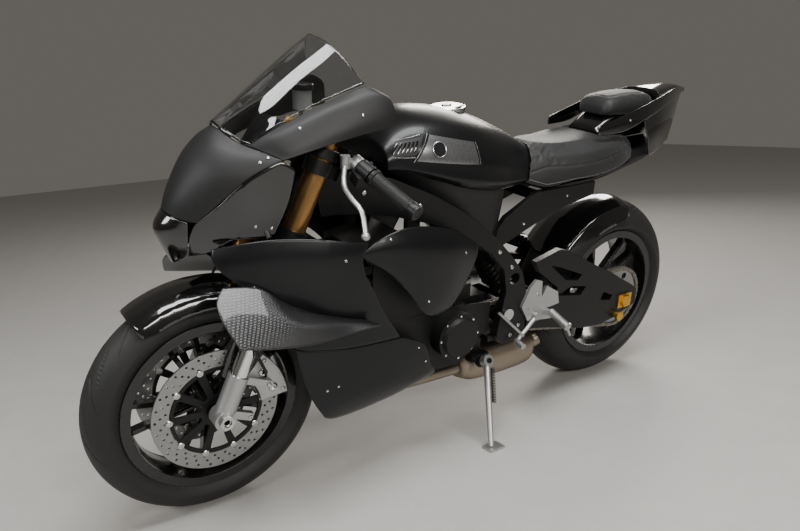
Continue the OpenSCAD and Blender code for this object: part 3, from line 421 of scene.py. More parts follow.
def per_vertex(mesh, label):
    """A vector of every vertex, such as its place or its normal, as rows of an array."""
    rows = np.zeros(len(mesh.vertices) * 3)
    mesh.vertices.foreach_get(label, rows)
    return rows.reshape(-1, 3)


def subdivided(mesh, levels):
    holder = placed("holder", mesh)
    modifier = holder.modifiers.new("smooth", "SUBSURF")
    modifier.levels = modifier.render_levels = levels
    result = baked(holder)
    bpy.data.objects.remove(holder)
    return result


def skin(node, mat, body, slot, levels=2, crease=0.8, corner=42, name=None):
    """A smooth copy of a CAD skin, in place of it."""
    bm = bmesh.new()
    bm.from_mesh(NODES[node].data)
    bmesh.ops.remove_doubles(bm, verts=bm.verts, dist=3e-5)
    bmesh.ops.dissolve_degenerate(bm, edges=bm.edges, dist=1e-5)
    bmesh.ops.join_triangles(bm, faces=bm.faces, angle_face_threshold=math.radians(28),
                             angle_shape_threshold=math.radians(70))
    layer = bm.edges.layers.float.get("crease_edge") or bm.edges.layers.float.new("crease_edge")
    for edge in bm.edges:
        if edge.is_manifold and edge.calc_face_angle() > math.radians(corner):
            edge[layer] = crease
    mesh = bpy.data.meshes.new(node + "_skin")
    bm.to_mesh(mesh)
    bm.free()
    mesh = subdivided(mesh, levels)
    shade(mesh, 50)
    obj = piece(name or node + "_skin", mesh, mat, body, slot)
    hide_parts(node)
    return obj


# %% Hard parts
BODY = {node: NODES[node]["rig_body"] for node in NODES}
harden(["front_rim", "rear_rim"], WHEEL, 0.0016)
harden(["top_yoke", "lower_yoke", "swingarm", "subframe", "fairing_stay", "stand_bracket"], BLACK, 0.0018)
harden(["frame"], BLACK, 0.0035)
harden(["handlebars"], BLACK, 0.0012)
harden(["engine", "engine_covers", "rear_shock"], CAST, 0.003)
harden(["axle_lugs", "front_calipers", "footrests", "side_stand"], SILVER, 0.002)
harden(["rear_caliper"], BLACK, 0.002)
harden(["inner_tubes"], CHROME, 0.001)
harden(["outer_tubes"], BRONZE, 0.001)
harden(["fuel_cap", "front_axle", "swingarm_pivot"], BRIGHT, 0.0012)
harden(["rear_axle"], GOLD, 0.001)
harden(["rear_sprocket"], STEEL, 0.0005)
harden(["clutch_lever", "brake_lever"], SILVER, 0.0008)
harden(["reservoir"], FLUID, 0.0012)
harden(["radiator"], FINS, 0.002)

# %% Skins
SKINS = {}
for node, mat, slot_name in (
        ("upper_cowl", MATTE, "matte_black"), ("nose_lip", GLOSS, "gloss_black"),
        ("nose_sides", GLOSS, "gloss_black"),
        ("side_fairings", SATIN, "satin_black"), ("belly_fairing", SATIN, "satin_black"),
        ("winglets", CARBON, "carbon"),
        ("side_scoops", SATIN, "satin_black"), ("fuel_tank", SATIN, "satin_black"),
        ("tail_cowl", GLOSS, "gloss_black"),
        ("tail_wings", GLOSS, "gloss_black"), ("undertail", MATTE, "matte_black"),
        ("tail_light", LAMP, "tail_red"),
        ("front_fender", GLOSS, "gloss_black"), ("rear_hugger", GLOSS, "gloss_black"),
        ("exhaust_headers", TITANIUM, "titanium"), ("exhaust_chamber", TITANIUM, "titanium"),
        ("brake_hoses", SOFT, "hose"), ("windscreen", SCREEN, "screen"),
        ("instrument_panel", MATTE, "gloss_black")):
    fine = node not in ("front_fender", "rear_hugger", "instrument_panel", "brake_hoses")
    SKINS[node] = skin(node, mat, BODY[node], slot_name, levels=2 if fine else 1)
    print(node, len(SKINS[node].data.polygons), "faces")

# %% [markdown]
# Tyres. A road tyre for sport use is nearly smooth: long curved grooves start beside the middle and sweep
# out to the shoulders, staggered from side to side. The tyre is one closed ring of points, spun from its
# section, and a point in a groove is let in by the groove's depth, so that the tread is real shape.


# %% Meshes from a spun section
def spun(rings, turns, dent=None):
    """rings is a closed section of (across, radius) pairs, dent(angle, across, radius) is a depth."""
    verts = []
    for k in range(turns):
        angle = 2 * math.pi * k / turns
        for across, radius in rings:
            r = radius - (dent(angle, across, radius) if dent else 0)
            verts.append((r * math.cos(angle), r * math.sin(angle), across))
    m = len(rings)
    faces = [(k * m + j, k * m + (j + 1) % m, (k + 1) % turns * m + (j + 1) % m, (k + 1) % turns * m + j)
             for k in range(turns) for j in range(m)]
    return closed_mesh("spun", verts, faces)


def smoothstep(low, high, value):
    t = min(1, max(0, (value - low) / (high - low)))
    return t * t * (3 - 2 * t)


def groove_depth(pitches, start, finish_at, sweep, crown, radius):
    """Swept grooves on both shoulders, half a pitch apart, deepest in the middle of their length."""
    step = 2 * math.pi / pitches

    def depth(angle, across, r):
        if abs(across) < start * 0.6 or r < radius - crown * 0.9:
            return 0
        stagger = 0.5 * step if across < 0 else 0
        total = 0
        for length, begin, width, lead in ((1.0, start, 0.0026, 0.0), (0.62, start * 2.0, 0.0019, 0.5)):
            t = (abs(across) - begin) / ((finish_at - begin) * length)
            if not -0.05 < t < 1.05:
                continue
            line = stagger + lead * step + sweep * max(0, t) ** 1.4
            away = abs((angle - line + step / 2) % step - step / 2) * radius
            half_width = width * smoothstep(0, 0.16, t) * smoothstep(1.0, 0.8, t)
            total = max(total, smoothstep(half_width + 0.0014, half_width * 0.5, away)
                        if half_width > 0.0004 else 0)
        return 0.0032 * total
    return depth


def tyre_mesh(radius, crown, rim_half, dent):
    top = [(crown * math.sin(a), radius - crown + crown * math.cos(a))
           for a in np.radians(np.linspace(-79, 79, 62))]
    wall = [(top[-1][0] * (1 - t) + (rim_half + 0.0005) * t + 0.0022 * math.sin(math.pi * t),
             top[-1][1] * (1 - t) + 0.2255 * t) for t in (0.2, 0.4, 0.6, 0.8, 1.0)]
    bead = [(rim_half - 0.001, 0.2225), (rim_half - 0.002, 0.2115)]
    right_side = wall + bead
    left_side = [(-a, r) for a, r in reversed(right_side)]
    return spun(top + right_side + left_side, 900, dent)


def on_hub(mesh, hub):
    mesh.transform(hub)
    return mesh


for name, node, hub, body, numbers in (
        ("front_tread_tyre", "front_tyre", FRONT_HUB, "front_wheel",
         (FRONT_R, 0.060, 0.045, (13, 0.008, 0.052, 0.30))),
        ("rear_tread_tyre", "rear_tyre", REAR_HUB, "rear_wheel",
         (REAR_R, 0.0978, 0.076, (12, 0.018, 0.084, 0.42)))):
    r, c, half_rim, (pitches, start, stop, sweep) = numbers
    mesh = on_hub(tyre_mesh(r, c, half_rim, groove_depth(pitches, start, stop, sweep, c, r)), hub)
    shade(mesh, 60)
    tyre = piece(name, mesh, RUBBER, body, "tyre")
    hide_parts(node)
    print(name, len(mesh.polygons), "faces")

# %% [markdown]
# Brake discs. A drilled disc is a flat shape with holes in it, which Blender fills and thickens straight
# from circles drawn as a flat curve. The carrier inside is another such shape, and between the two sit
# the floating bobbins.


# %% Flat shapes with holes
def ring(curve, radius, x=0.0, y=0.0, count=24):
    outline(curve, [(x + radius * math.cos(a), y + radius * math.sin(a))
                    for a in np.linspace(0, 2 * math.pi, count, False)])


def outline(curve, points):
    spline = curve.splines.new("POLY")
    spline.points.add(len(points) - 1)
    for target, (x, y) in zip(spline.points, points):
        target.co = (x, y, 0, 1)
    spline.use_cyclic_u = True


def flat(draw, thick, bevel=0.0004):
    curve = bpy.data.curves.new("flat", "CURVE")
    curve.dimensions, curve.fill_mode = "2D", "BOTH"
    curve.extrude, curve.offset = thick / 2 - bevel, -bevel
    curve.bevel_depth, curve.bevel_resolution = bevel, 1
    draw(curve)
    holder = placed("holder", curve)
    mesh = baked(holder)
    bpy.data.objects.remove(holder)
    bm = bmesh.new()
    bm.from_mesh(mesh)
    bmesh.ops.remove_doubles(bm, verts=bm.verts, dist=1e-6)
    bmesh.ops.recalc_face_normals(bm, faces=bm.faces)
    bm.to_mesh(mesh)
    bm.free()
    return mesh


def joined(meshes):
    """Several meshes as one, each with its own place already applied."""
    bm = bmesh.new()
    for mesh in meshes:
        bm.from_mesh(mesh)
    result = bpy.data.meshes.new("joined")
    bm.to_mesh(result)
    bm.free()
    return result


def moved(mesh, matrix):
    copy = mesh.copy()
    copy.transform(matrix)
    if matrix.to_3x3().determinant() < 0:
        copy.flip_normals()
    return copy


def drilled(outer, inner, rows, holes):
    def draw(curve):
        ring(curve, outer, count=160)
        ring(curve, inner, count=120)
        for k in range(holes):
            for n, share in enumerate(rows):
                a = 2 * math.pi * (k + (n % 3) * 0.34) / holes
                r = inner + (outer - inner) * share
                ring(curve, 0.0031, r * math.cos(a), r * math.sin(a), 14)
    return flat(draw, 0.005)


def carrier(outer, inner, arms, thick=0.006):
    def draw(curve):
        ring(curve, outer, count=120)
        ring(curve, inner, count=60)
        for k in range(arms):
            a0, a1 = (2 * math.pi * (k + s) / arms for s in (0.10, 0.90))
            mid = math.pi * (2 * k + 1) / arms
            r0, r1 = inner + 0.016, outer - 0.009
            window = [(r1 * math.cos(a), r1 * math.sin(a)) for a in np.linspace(a0 + 0.03, a1 - 0.03, 9)]
            window += [(r0 * math.cos(a), r0 * math.sin(a))
                       for a in np.linspace(mid + (a1 - mid) * 0.55, mid - (a1 - mid) * 0.55, 5)]
            outline(curve, window)
    return flat(draw, thick, 0.0006)


# %% Front and rear discs
FRONT_DISC_OUT, REAR_DISC_OUT = 0.0685, 0.0875
front_ring, front_spider = drilled(0.160, 0.118, (0.22, 0.5, 0.78), 30), carrier(0.1165, 0.026, 10)
rear_ring, rear_spider = drilled(0.110, 0.078, (0.3, 0.7), 24), carrier(0.0765, 0.026, 6)
flip = rotate(math.pi, "X")
pairs = [shift(0, 0, FRONT_DISC_OUT), flip @ shift(0, 0, FRONT_DISC_OUT)]
discs = piece("front_drilled_discs", on_hub(joined([moved(front_ring, m) for m in pairs]), FRONT_HUB),
              STEEL, "front_wheel", "disc_steel")
spiders = piece("front_disc_carriers", on_hub(joined([moved(front_spider, m) for m in pairs]), FRONT_HUB),
                BLACK, "front_wheel", "disc_steel")
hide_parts("front_discs")
rear_side = flip @ shift(0, 0, REAR_DISC_OUT)
rear_disc = piece("rear_drilled_disc", on_hub(moved(rear_ring, rear_side), REAR_HUB), STEEL, "rear_wheel",
                  "disc_steel")
piece("rear_disc_carrier", on_hub(moved(rear_spider, rear_side), REAR_HUB), BLACK, "rear_wheel",
      "disc_steel")
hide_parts("rear_disc")
print("disc faces", len(discs.data.polygons), len(spiders.data.polygons))

# %% [markdown]
# What repeats, such as screws, bobbins, links and ribs, is placed by one Geometry Nodes tree. It reads a
# cloud of points that carry a turn and a size, puts a copy of a small part on each, makes the copies real
# and gives them their finish.


# %% Geometry nodes that repeat a part
def repeat_tree():
    tree = bpy.data.node_groups.new("repeat_part", "GeometryNodeTree")
    for label, kind in (("Geometry", "Geometry"), ("Part", "Object"), ("Finish", "Material")):
        tree.interface.new_socket(name=label, in_out="INPUT", socket_type="NodeSocket" + kind)
    tree.interface.new_socket(name="Geometry", in_out="OUTPUT", socket_type="NodeSocketGeometry")
    gi, go = tree.nodes.new("NodeGroupInput"), tree.nodes.new("NodeGroupOutput")
    turn = add(tree, "GeometryNodeInputNamedAttribute", [("Name", "turn")],
               data_type="FLOAT_VECTOR").outputs[0]
    size = add(tree, "GeometryNodeInputNamedAttribute", [("Name", "size")],
               data_type="FLOAT_VECTOR").outputs[0]
    lie = add(tree, "FunctionNodeEulerToRotation", [(0, turn)]).outputs[0]
    part = add(tree, "GeometryNodeObjectInfo", [("Object", gi.outputs["Part"])]).outputs["Geometry"]
    spots = add(tree, "GeometryNodeInstanceOnPoints",
                [("Points", gi.outputs["Geometry"]), ("Instance", part),
                 ("Rotation", lie), ("Scale", size)])
    real = add(tree, "GeometryNodeRealizeInstances", [("Geometry", spots.outputs[0])])
    made = add(tree, "GeometryNodeSetMaterial",
               [("Geometry", real.outputs[0]), ("Material", gi.outputs["Finish"])])
    tree.links.new(made.outputs[0], go.inputs[0])
    return tree


REPEAT = repeat_tree()
INPUTS = {item.name: item.identifier for item in REPEAT.interface.items_tree if item.in_out == "INPUT"}


def repeat(name, part_mesh, spots, mat, body, slot=None, degrees=35):
    """spots is a list of matrices without shear; the copies become one plain mesh."""
    places, turns, sizes = zip(*[m.decompose() for m in spots])
    cloud = bpy.data.meshes.new("cloud")
    cloud.from_pydata([tuple(p) for p in places], [], [])
    for label, values in (("turn", [tuple(t.to_euler()) for t in turns]),
                          ("size", [tuple(s) for s in sizes])):
        attribute = cloud.attributes.new(label, "FLOAT_VECTOR", "POINT")
        attribute.data.foreach_set("vector", np.array(values, np.float32).ravel())
    part, holder = placed("part", part_mesh), placed("holder", cloud)
    modifier = holder.modifiers.new("repeat", "NODES")
    modifier.node_group = REPEAT
    modifier[INPUTS["Part"]] = part
    modifier[INPUTS["Finish"]] = mat
    mesh = baked(holder)
    for obj in (part, holder):
        bpy.data.objects.remove(obj)
    shade(mesh, degrees)
    obj = piece(name, mesh, None, body, slot)
    print(name, len(spots), "copies,", len(mesh.polygons), "faces")
    return obj


def lathe(profile, count=20, hexagon=()):
    """A solid of revolution about Z from (radius, height) pairs; rows named in hexagon are six-sided."""
    verts, faces = [], []
    for j, (radius, height) in enumerate(profile):
        for k in range(count):
            a = 2 * math.pi * k / count
            r = radius * (math.cos(math.pi / 6) / math.cos((a % (math.pi / 3)) - math.pi / 6)
                          if j in hexagon else 1)
            verts.append((r * math.cos(a), r * math.sin(a), height))
    for j in range(len(profile) - 1):
        faces += [(j * count + k, j * count + (k + 1) % count, (j + 1) * count + (k + 1) % count,
                   (j + 1) * count + k)
                  for k in range(count)]
    faces += [tuple(reversed(range(count))), tuple((len(profile) - 1) * count + k for k in range(count))]
    return closed_mesh("lathe", verts, faces)


# %% Small parts of unit size, in metres for a 1 m radius
SCREW = lathe([(1.0, -0.3), (1.0, 0.25), (0.9, 0.5), (0.62, 0.66), (0.5, 0.66), (0.5, 0.2)], 24,
              hexagon=(4, 5))
BOBBIN = lathe([(1.0, -0.55), (1.0, 0.55), (0.85, 0.66), (0.55, 0.66), (0.5, 0.5)], 20)
NUT = lathe([(1.15, 0), (1.15, 0.08), (1.0, 0.08), (1.0, 0.8), (0.9, 0.9), (0.62, 0.9), (0.62, 0.2)], 24,
            hexagon=(2, 3, 4))


def facing(place, normal, radius, spin=0.0):
    """Where a small part sits: its axis along the normal."""
    turn = Vector(normal).to_track_quat("Z", "Y").to_matrix().to_4x4()
    return Matrix.Translation(place) @ turn @ rotate(spin, "Z") @ resize(radius, radius, radius)


# %% Bobbins of the discs
spots = [FRONT_HUB @ m @ rotate(2 * math.pi * k / 10, "Z") @ shift(0.1172, 0, 0)
         @ resize(0.0085, 0.0085, 0.0085) for m in pairs for k in range(10)]
repeat("front_disc_bobbins", BOBBIN, spots, BRIGHT, "front_wheel", "disc_steel")
spots = [REAR_HUB @ rear_side @ rotate(2 * math.pi * k / 6, "Z") @ shift(0.0772, 0, 0)
         @ resize(0.0075, 0.0075, 0.0075) for k in range(6)]
repeat("rear_disc_bobbins", BOBBIN, spots, BRIGHT, "rear_wheel", "disc_steel")

# %% [markdown]
# The chain is the outline of two sprockets with the straight runs between them, cut into equal pitches.
# Inner and outer links take turns. One link is a pair of waisted plates with a roller.

# %% Chain
PITCH = 0.015875
REAR_PR, FRONT_PR = PITCH / (2 * math.sin(math.pi / 40)), PITCH / (2 * math.sin(math.pi / 16))
OUT = Vector((0.622, 0.384 - REAR_R))
length, tilt = OUT.length, math.atan2(OUT.y, OUT.x)
cone = math.acos((REAR_PR - FRONT_PR) / length)
loop = [Vector((REAR_PR * math.cos(a), REAR_PR * math.sin(a)))
        for a in np.linspace(tilt + cone, tilt - cone + 2 * math.pi, 160)]
loop += [OUT + Vector((FRONT_PR * math.cos(a), FRONT_PR * math.sin(a)))
         for a in np.linspace(tilt - cone, tilt + cone, 90)]
loop.append(loop[0])
run = np.concatenate([[0], np.cumsum([(b - a).length for a, b in zip(loop, loop[1:])])])
LINKS = 2 * round(run[-1] / PITCH / 2)
marks = [Vector((np.interp(s, run, [p.x for p in loop]), np.interp(s, run, [p.y for p in loop])))
         for s in np.linspace(0, run[-1], LINKS + 1)]


def waisted(curve):
    points = []
    for centre in (-1, 1):
        for a in np.radians(np.linspace(60, 300, 9) if centre < 0 else np.linspace(-120, 120, 9)):
            points.append((centre * PITCH / 2 + 0.0068 * math.cos(a), 0.0068 * math.sin(a)))
    outline(curve, points)


plate = flat(waisted, 0.0016, 0.0003)
pin = lathe([(0.0042, -0.0085), (0.0042, 0.0085)], 10)
inner = joined([moved(plate, shift(0, 0, z)) for z in (-0.0049, 0.0049)] +
               [moved(pin, shift(x * PITCH / 2, 0, 0) @ resize(1.1, 1.1, 0.5)) for x in (-1, 1)])
outer = joined([moved(plate, shift(0, 0, z)) for z in (-0.0068, 0.0068)] +
               [moved(pin, shift(x * PITCH / 2, 0, 0) @ resize(0.62, 0.62, 1.0)) for x in (-1, 1)])
CHAIN_PLACE = BIKE @ shift(0, 0.116, REAR_R) @ rotate(math.pi / 2, "X")
for label, link, first in (("chain_inner_links", inner, 0), ("chain_outer_links", outer, 1)):
    spots = []
    for k in range(first, LINKS, 2):
        a, b = marks[k], marks[k + 1]
        spots.append(CHAIN_PLACE @ shift((a.x + b.x) / 2, (a.y + b.y) / 2, 0)
                     @ rotate(math.atan2(b.y - a.y, b.x - a.x), "Z"))
    made = repeat(label, link, spots, LINK, "chassis", "chain_steel")
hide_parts("chain")
print(LINKS, "links")

# %% [markdown]
# Small hardware goes on real surfaces. A ray shot sideways at a part finds the spot and the way
# its surface faces, so that a screw head sits flat on a curved panel.


# %% Finding a spot on a surface
TREES = {}


def on_surface(obj, start, direction):
    """The first place where a ray meets an object, and the normal there, both in the frame."""
    if obj.name not in TREES:
        bm = bmesh.new()
        bm.from_mesh(obj.data)
        TREES[obj.name] = BVHTree.FromBMesh(bm)
        bm.free()
    place, normal, _, _ = TREES[obj.name].ray_cast(start, direction)
    if place is None:
        return None, None
    return place, (normal if normal.dot(direction) < 0 else -normal)


def from_side(obj, x, z, side=1):
    return on_surface(obj, at(x, 450 * side, z), way(0, -side, 0))


def side_screws(obj, places, radius=0.0035, sides=(1, -1)):
    spots = []
    for side in sides:
        for x, z in places:
            place, normal = from_side(obj, x, z, side)
            if place is None:
                print("no surface at", obj.name, x, z, side)
                continue
            spots.append(facing(place, normal, radius, x))
    return spots


# %% Screws of the bodywork and the frame
panel_screws = []
for node, places in (("nose_sides", ((1313, 775), (1282, 771))),
                     ("upper_cowl", ((1064, 1010), (1205, 985), (1278, 925), (1296, 916))),
                     ("side_fairings", ((1130, 688), (1236, 505), (1080, 505), (1330, 640))),
                     ("belly_fairing", ((1163, 340), (1133, 345), (878, 380), (850, 330), (1000, 245))),
                     ("side_scoops", ((1010, 722), (880, 530), (760, 640))),
                     ("tail_wings", ((60, 925),))):
    panel_screws += side_screws(SKINS[node], places)
repeat("fairing_screws", SCREW, panel_screws, BRIGHT, "chassis", "bright_steel")
frame_screws = side_screws(NODES["frame"], ((1000, 800), (870, 765), (600, 600), (548, 545), (500, 350),
                                            (530, 325)), 0.0065)
frame_screws += side_screws(NODES["subframe"], ((470, 650), (300, 715)), 0.0045)
frame_screws += side_screws(NODES["footrests"], ((440, 440), (478, 400), (375, 360)), 0.0055)
repeat("frame_screws", SCREW, frame_screws, BRIGHT, "chassis", "bright_steel")
fork_screws = side_screws(SKINS["front_fender"], ((1296, 545), (1310, 470)), 0.0035)
for side in (1, -1):
    for x, z in ((-68, 12), (-84, 103)):
        spot = FORK @ shift(x / 1000, side * (FORK_HALF + 0.0095), z / 1000)
        fork_screws.append(spot @ rotate(-side * math.pi / 2, "X") @ resize(0.006, 0.006, 0.006))
repeat("fork_screws", SCREW, fork_screws, BRIGHT, "steering", "bright_steel")
covers = []
for centre, radius, count, side in (((738, 376), 64, 8, 1), ((700, 376), 85, 10, -1)):
    covers += side_screws(NODES["engine_covers"],
                          [(centre[0] + radius * math.cos(a), centre[1] + radius * math.sin(a))
                           for a in np.linspace(0, 2 * math.pi, count, False)],
                          0.0042, (side,))
repeat("cover_screws", SCREW, covers, BRIGHT, "chassis", "bright_steel")

# %% Caliper bolts
caliper = []
for side in (1, -1):
    for turn, radius, size in ((-163, 141, 0.012), (-141, 141, 0.012), (-170, 165, 0.006),
                               (-134, 165, 0.006)):
        angle = math.radians(turn)
        across, down = radius / 1000 * math.cos(angle), radius / 1000 * math.sin(angle)
        spot = shift(WHEELBASE, 0, FRONT_R) @ Vector((across, 0, -down))
        place, normal = on_surface(NODES["front_calipers"], BIKE @ (spot + Vector((0, 0.3 * side, 0))),
                                   way(0, -side, 0))
        if place:
            caliper.append(facing(place, normal, size))
repeat("caliper_bolts", SCREW, caliper, BRIGHT, "steering", "cast_silver")

# %% Fuel cap screws, fork adjusters, steering nut and axle ends
CAP = BIKE @ shift(0.693, 0, 0.970) @ rotate(math.radians(5), "Y")
spots = [CAP @ rotate(2 * math.pi * k / 7, "Z") @ shift(0.0455, 0, 0.0155)
         @ resize(0.0034, 0.0034, 0.0034) for k in range(7)]
repeat("fuel_cap_screws", SCREW, spots, BLACK, "chassis", "chrome")
slot = [(-0.001, -0.005), (0.001, -0.005), (0.001, 0.005), (-0.001, 0.005)]
lock = flat(lambda curve: (ring(curve, 0.014, count=40), outline(curve, slot)), 0.003)
piece("fuel_cap_lock", moved(lock, CAP @ shift(0, 0, 0.0212)), STEEL, "chassis", "chrome")
spots = [FORK @ shift(0, side * FORK_HALF, 0.7215) @ resize(0.0095, 0.0095, 0.010) for side in (1, -1)]
repeat("fork_adjusters", NUT, spots, GOLD, "steering", "bronze")
spots = [FORK @ shift(-STEERING_OFFSET, 0, 0.7075) @ resize(0.0165, 0.0165, 0.012)]
repeat("steering_nut", NUT, spots, BRIGHT, "steering", "bright_steel")

# %% [markdown]
# Grips are soft sleeves with ribs all round and a flange at the inner end. The bar they sit on leans out,
# back and down.

# %% Grips and bar ends
BAR_IN, BAR_OUT = Vector((1078, 125, 912)) / 1000, Vector((1014, 343, 812)) / 1000
ALONG = (BAR_OUT - BAR_IN).normalized()


def on_bar(t, side=1):
    """A matrix on the handlebar, t millimetres from its inner end, Z along the bar."""
    lie = ALONG.to_track_quat("Z", "X").to_matrix().to_4x4()
    matrix = Matrix.Translation(BAR_IN + ALONG * t / 1000) @ lie
    return BIKE @ (Matrix.Scale(-1, 4, (0, 1, 0)) if side < 0 else Matrix.Identity(4)) @ matrix


RIBS = 24
rows = [(0.0157, 0.0), (0.0205, 0.001), (0.0205, 0.004), (0.0166, 0.0055)]
for k in range(RIBS):
    base = 0.0075 + k * 0.0042
    rows += [(0.0163, base), (0.0172, base + 0.0008), (0.0172, base + 0.0026), (0.0163, base + 0.0034)]
rows += [(0.0166, 0.1105), (0.0174, 0.112), (0.0174, 0.1145), (0.0157, 0.1155)]
grip = lathe(rows, 40)
for side, label in ((1, "left"), (-1, "right")):
    mesh = moved(grip, on_bar(96.5, side))
    shade(mesh, 45)
    piece(label + "_grip", mesh, SOFT, "steering", "black_metal")
knob = lathe([(0.0179, 0.0), (0.0183, 0.001), (0.0183, 0.018), (0.0172, 0.0225), (0.009, 0.0238),
              (0.009, 0.018)], 36)
ends = joined([moved(knob, on_bar(213, side)) for side in (1, -1)])
shade(ends, 40)
piece("bar_ends", ends, BLACK, "steering", "black_metal")

# %% Switches beside the grips, and the fluid reservoir's cap
button = lathe([(1.0, -0.6), (1.0, 0.25), (0.86, 0.5), (0.5, 0.58)], 20)
spots = []
for side in (1, -1):
    for t, turn, size in ((60, -80, 0.0062), (72, -80, 0.0048), (80, -80, 0.0048), (66, -30, 0.005)):
        base = on_bar(t, side) @ rotate(math.radians(turn), "Z") @ shift(0.0215, 0, 0)
        spots.append(base @ rotate(math.pi / 2, "Y") @ resize(size, size, size))
sizes = (0.0062, 0.0048, 0.0048, 0.005) * 2
spots = [facing(m.to_translation(), m.col[2].to_3d(), s) for m, s in zip(spots, sizes)]
repeat("switch_buttons", button, spots, SOFT, "steering", "black_metal")
knurls = [(0.0288, 0.0), (0.0288, 0.0135), (0.027, 0.0155), (0.012, 0.0155)]
cap_mesh = lathe([(0.0235, -0.001)] + knurls, 72)
for vertex in cap_mesh.vertices:
    spin = math.atan2(vertex.co.y, vertex.co.x)
    if vertex.co.xy.length > 0.028:
        vertex.co.xy *= 1 - 0.018 * (math.cos(spin * 36) > 0)
cap = piece("reservoir_cap", moved(cap_mesh, BIKE @ shift(1.079, -0.098, 1.0338)), BLACK, "steering",
            "reservoir")
shade(cap.data, 30)
print("controls done")

# %% [markdown]
# Seats. The cover of each seat is pulled over foam: a closed form, crowned on top, which a short cloth
# simulation blows up from inside while its base stays on the seat pan. A sewn seam with stitches follows
# the edge of the top panel.


# %% Padding by cloth simulation
SEAM_DEPTH, SEAM_HALF_WIDTH = 0.0016, 0.0032
CLOTH_FRAMES = 20


def padded(node, name, shrink, cap_move, voxel, seam):
    bm = bmesh.new()
    bm.from_mesh(NODES[node].data)
    bmesh.ops.remove_doubles(bm, verts=bm.verts, dist=3e-5)
    mesh = bpy.data.meshes.new(name)
    bm.to_mesh(mesh)
    bm.free()
    obj = placed(name, mesh)
    remesh = obj.modifiers.new("remesh", "REMESH")
    remesh.mode, remesh.voxel_size, remesh.use_smooth_shade = "VOXEL", voxel, True
    evening = obj.modifiers.new("even", "SMOOTH")
    evening.iterations, evening.factor = 6, 0.5
    shell = baked(obj)
    obj.modifiers.clear()
    obj.data = shell
    normals = per_vertex(shell, "normal")
    rest = per_vertex(shell, "co") - normals * shrink
    shell.vertices.foreach_set("co", rest.ravel())
    shell.update()
    facing_up = normals @ np.array(UP)
    base = obj.vertex_groups.new(name="base")
    for index in np.nonzero(facing_up < -0.35)[0]:
        base.add([int(index)], 1.0, "REPLACE")
    cloth = obj.modifiers.new("cloth", "CLOTH")
    cloth.settings.vertex_group_mass = "base"
    cloth.settings.use_pressure = True
    cloth.settings.uniform_pressure_force = 4.0
    cloth.settings.quality = 4
    cloth.settings.effector_weights.gravity = 0.0
    scene = bpy.context.scene
    for number in range(1, CLOTH_FRAMES + 1):
        scene.frame_set(number)
    blown = baked(obj)
    scene.frame_set(1)
    obj.modifiers.clear()
    obj.vertex_groups.clear()
    step = per_vertex(blown, "co") - rest
    size = np.linalg.norm(step, axis=1, keepdims=True)
    step *= np.minimum(1, cap_move / np.maximum(size, 1e-9))
    print(name, "swells by up to", round(float(size.max()) * 1000, 1), "mm, kept to",
          round(cap_move * 1000, 1))
    rest = rest + step
    shell.vertices.foreach_set("co", rest.ravel())
    obj.data = subdivided(shell, 1)
    co, normals = per_vertex(obj.data, "co"), per_vertex(obj.data, "normal")
    inverse = np.array(BIKE.inverted())
    local = co @ inverse[:3, :3].T + inverse[:3, 3]
    across = np.abs(seam(local))
    up = normals @ np.array(UP)
    depth = SEAM_DEPTH * np.clip(1 - across / SEAM_HALF_WIDTH, 0, 1) ** 0.6 * (up > -0.2)
    co = co - normals * depth[:, None]
    obj.data.vertices.foreach_set("co", co.ravel())
    obj.data.update()
    shade(obj.data, 80)
    paint(obj, HIDE)
    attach(obj, "chassis")
    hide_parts(node)
    print(name, len(obj.data.polygons), "faces")
    return obj


SEAM_X = [0.03, 0.10, 0.20, 0.30, 0.40, 0.474]
SEAM_Z = [0.845, 0.836, 0.818, 0.812, 0.812, 0.790]


def rider_seam(p):
    """Distance from the seam that runs along both sides, a little under the seat's edge."""
    edge = np.interp(p[:, 0], SEAM_X, SEAM_Z)
    return p[:, 2] - edge


def pillion_seam(p):
    return np.hypot(np.maximum(np.abs(p[:, 0] + 0.004) - 0.06, 0),
                    np.maximum(np.abs(p[:, 1]) - 0.012, 0)) - 0.028


rider = padded("rider_seat", "rider_seat_cover", 0.004, 0.0055, 0.0055, rider_seam)
padded("pillion_pad", "pillion_cover", 0.003, 0.004, 0.005, pillion_seam)

# %% Stitches along the rider's seat seam
stitch = lathe([(0.2, -1.0), (0.62, -0.75), (0.7, 0), (0.62, 0.75), (0.2, 1.0)], 8)
spots = []
for side in (1, -1):
    for x in np.arange(52, 452, 5.2):
        z = float(np.interp(x / 1000, SEAM_X, SEAM_Z)) * 1000
        place, normal = from_side(rider, x, z + 4.5, side)
        if place is None:
            continue
        turn = Matrix((way(0, 0, 1).cross(way(1, 0, 0)), way(0, 0, 1), way(1, 0, 0))).transposed().to_4x4()
        spots.append(Matrix.Translation(place) @ turn @ resize(0.0008, 0.0008, 0.0019))
repeat("seat_stitches", stitch, spots, SOFT, "chassis", "seat_cover")

# %% [markdown]
# Tank panels and vents, edge lines, springs and the display finish the small things that catch the eye
# from the side.


# %% A wire bent round an axis
def coil(start, end, radius, wire, turns, per_turn=14):
    axis = end - start
    turn = axis.to_track_quat("Z", "Y").to_matrix()
    points = []
    for k in range(turns * per_turn + 1):
        a = 2 * math.pi * k / per_turn
        points.append(start + turn @ Vector((radius * math.cos(a), radius * math.sin(a),
                                             axis.length * k / (turns * per_turn))))
    return tube(points, wire)


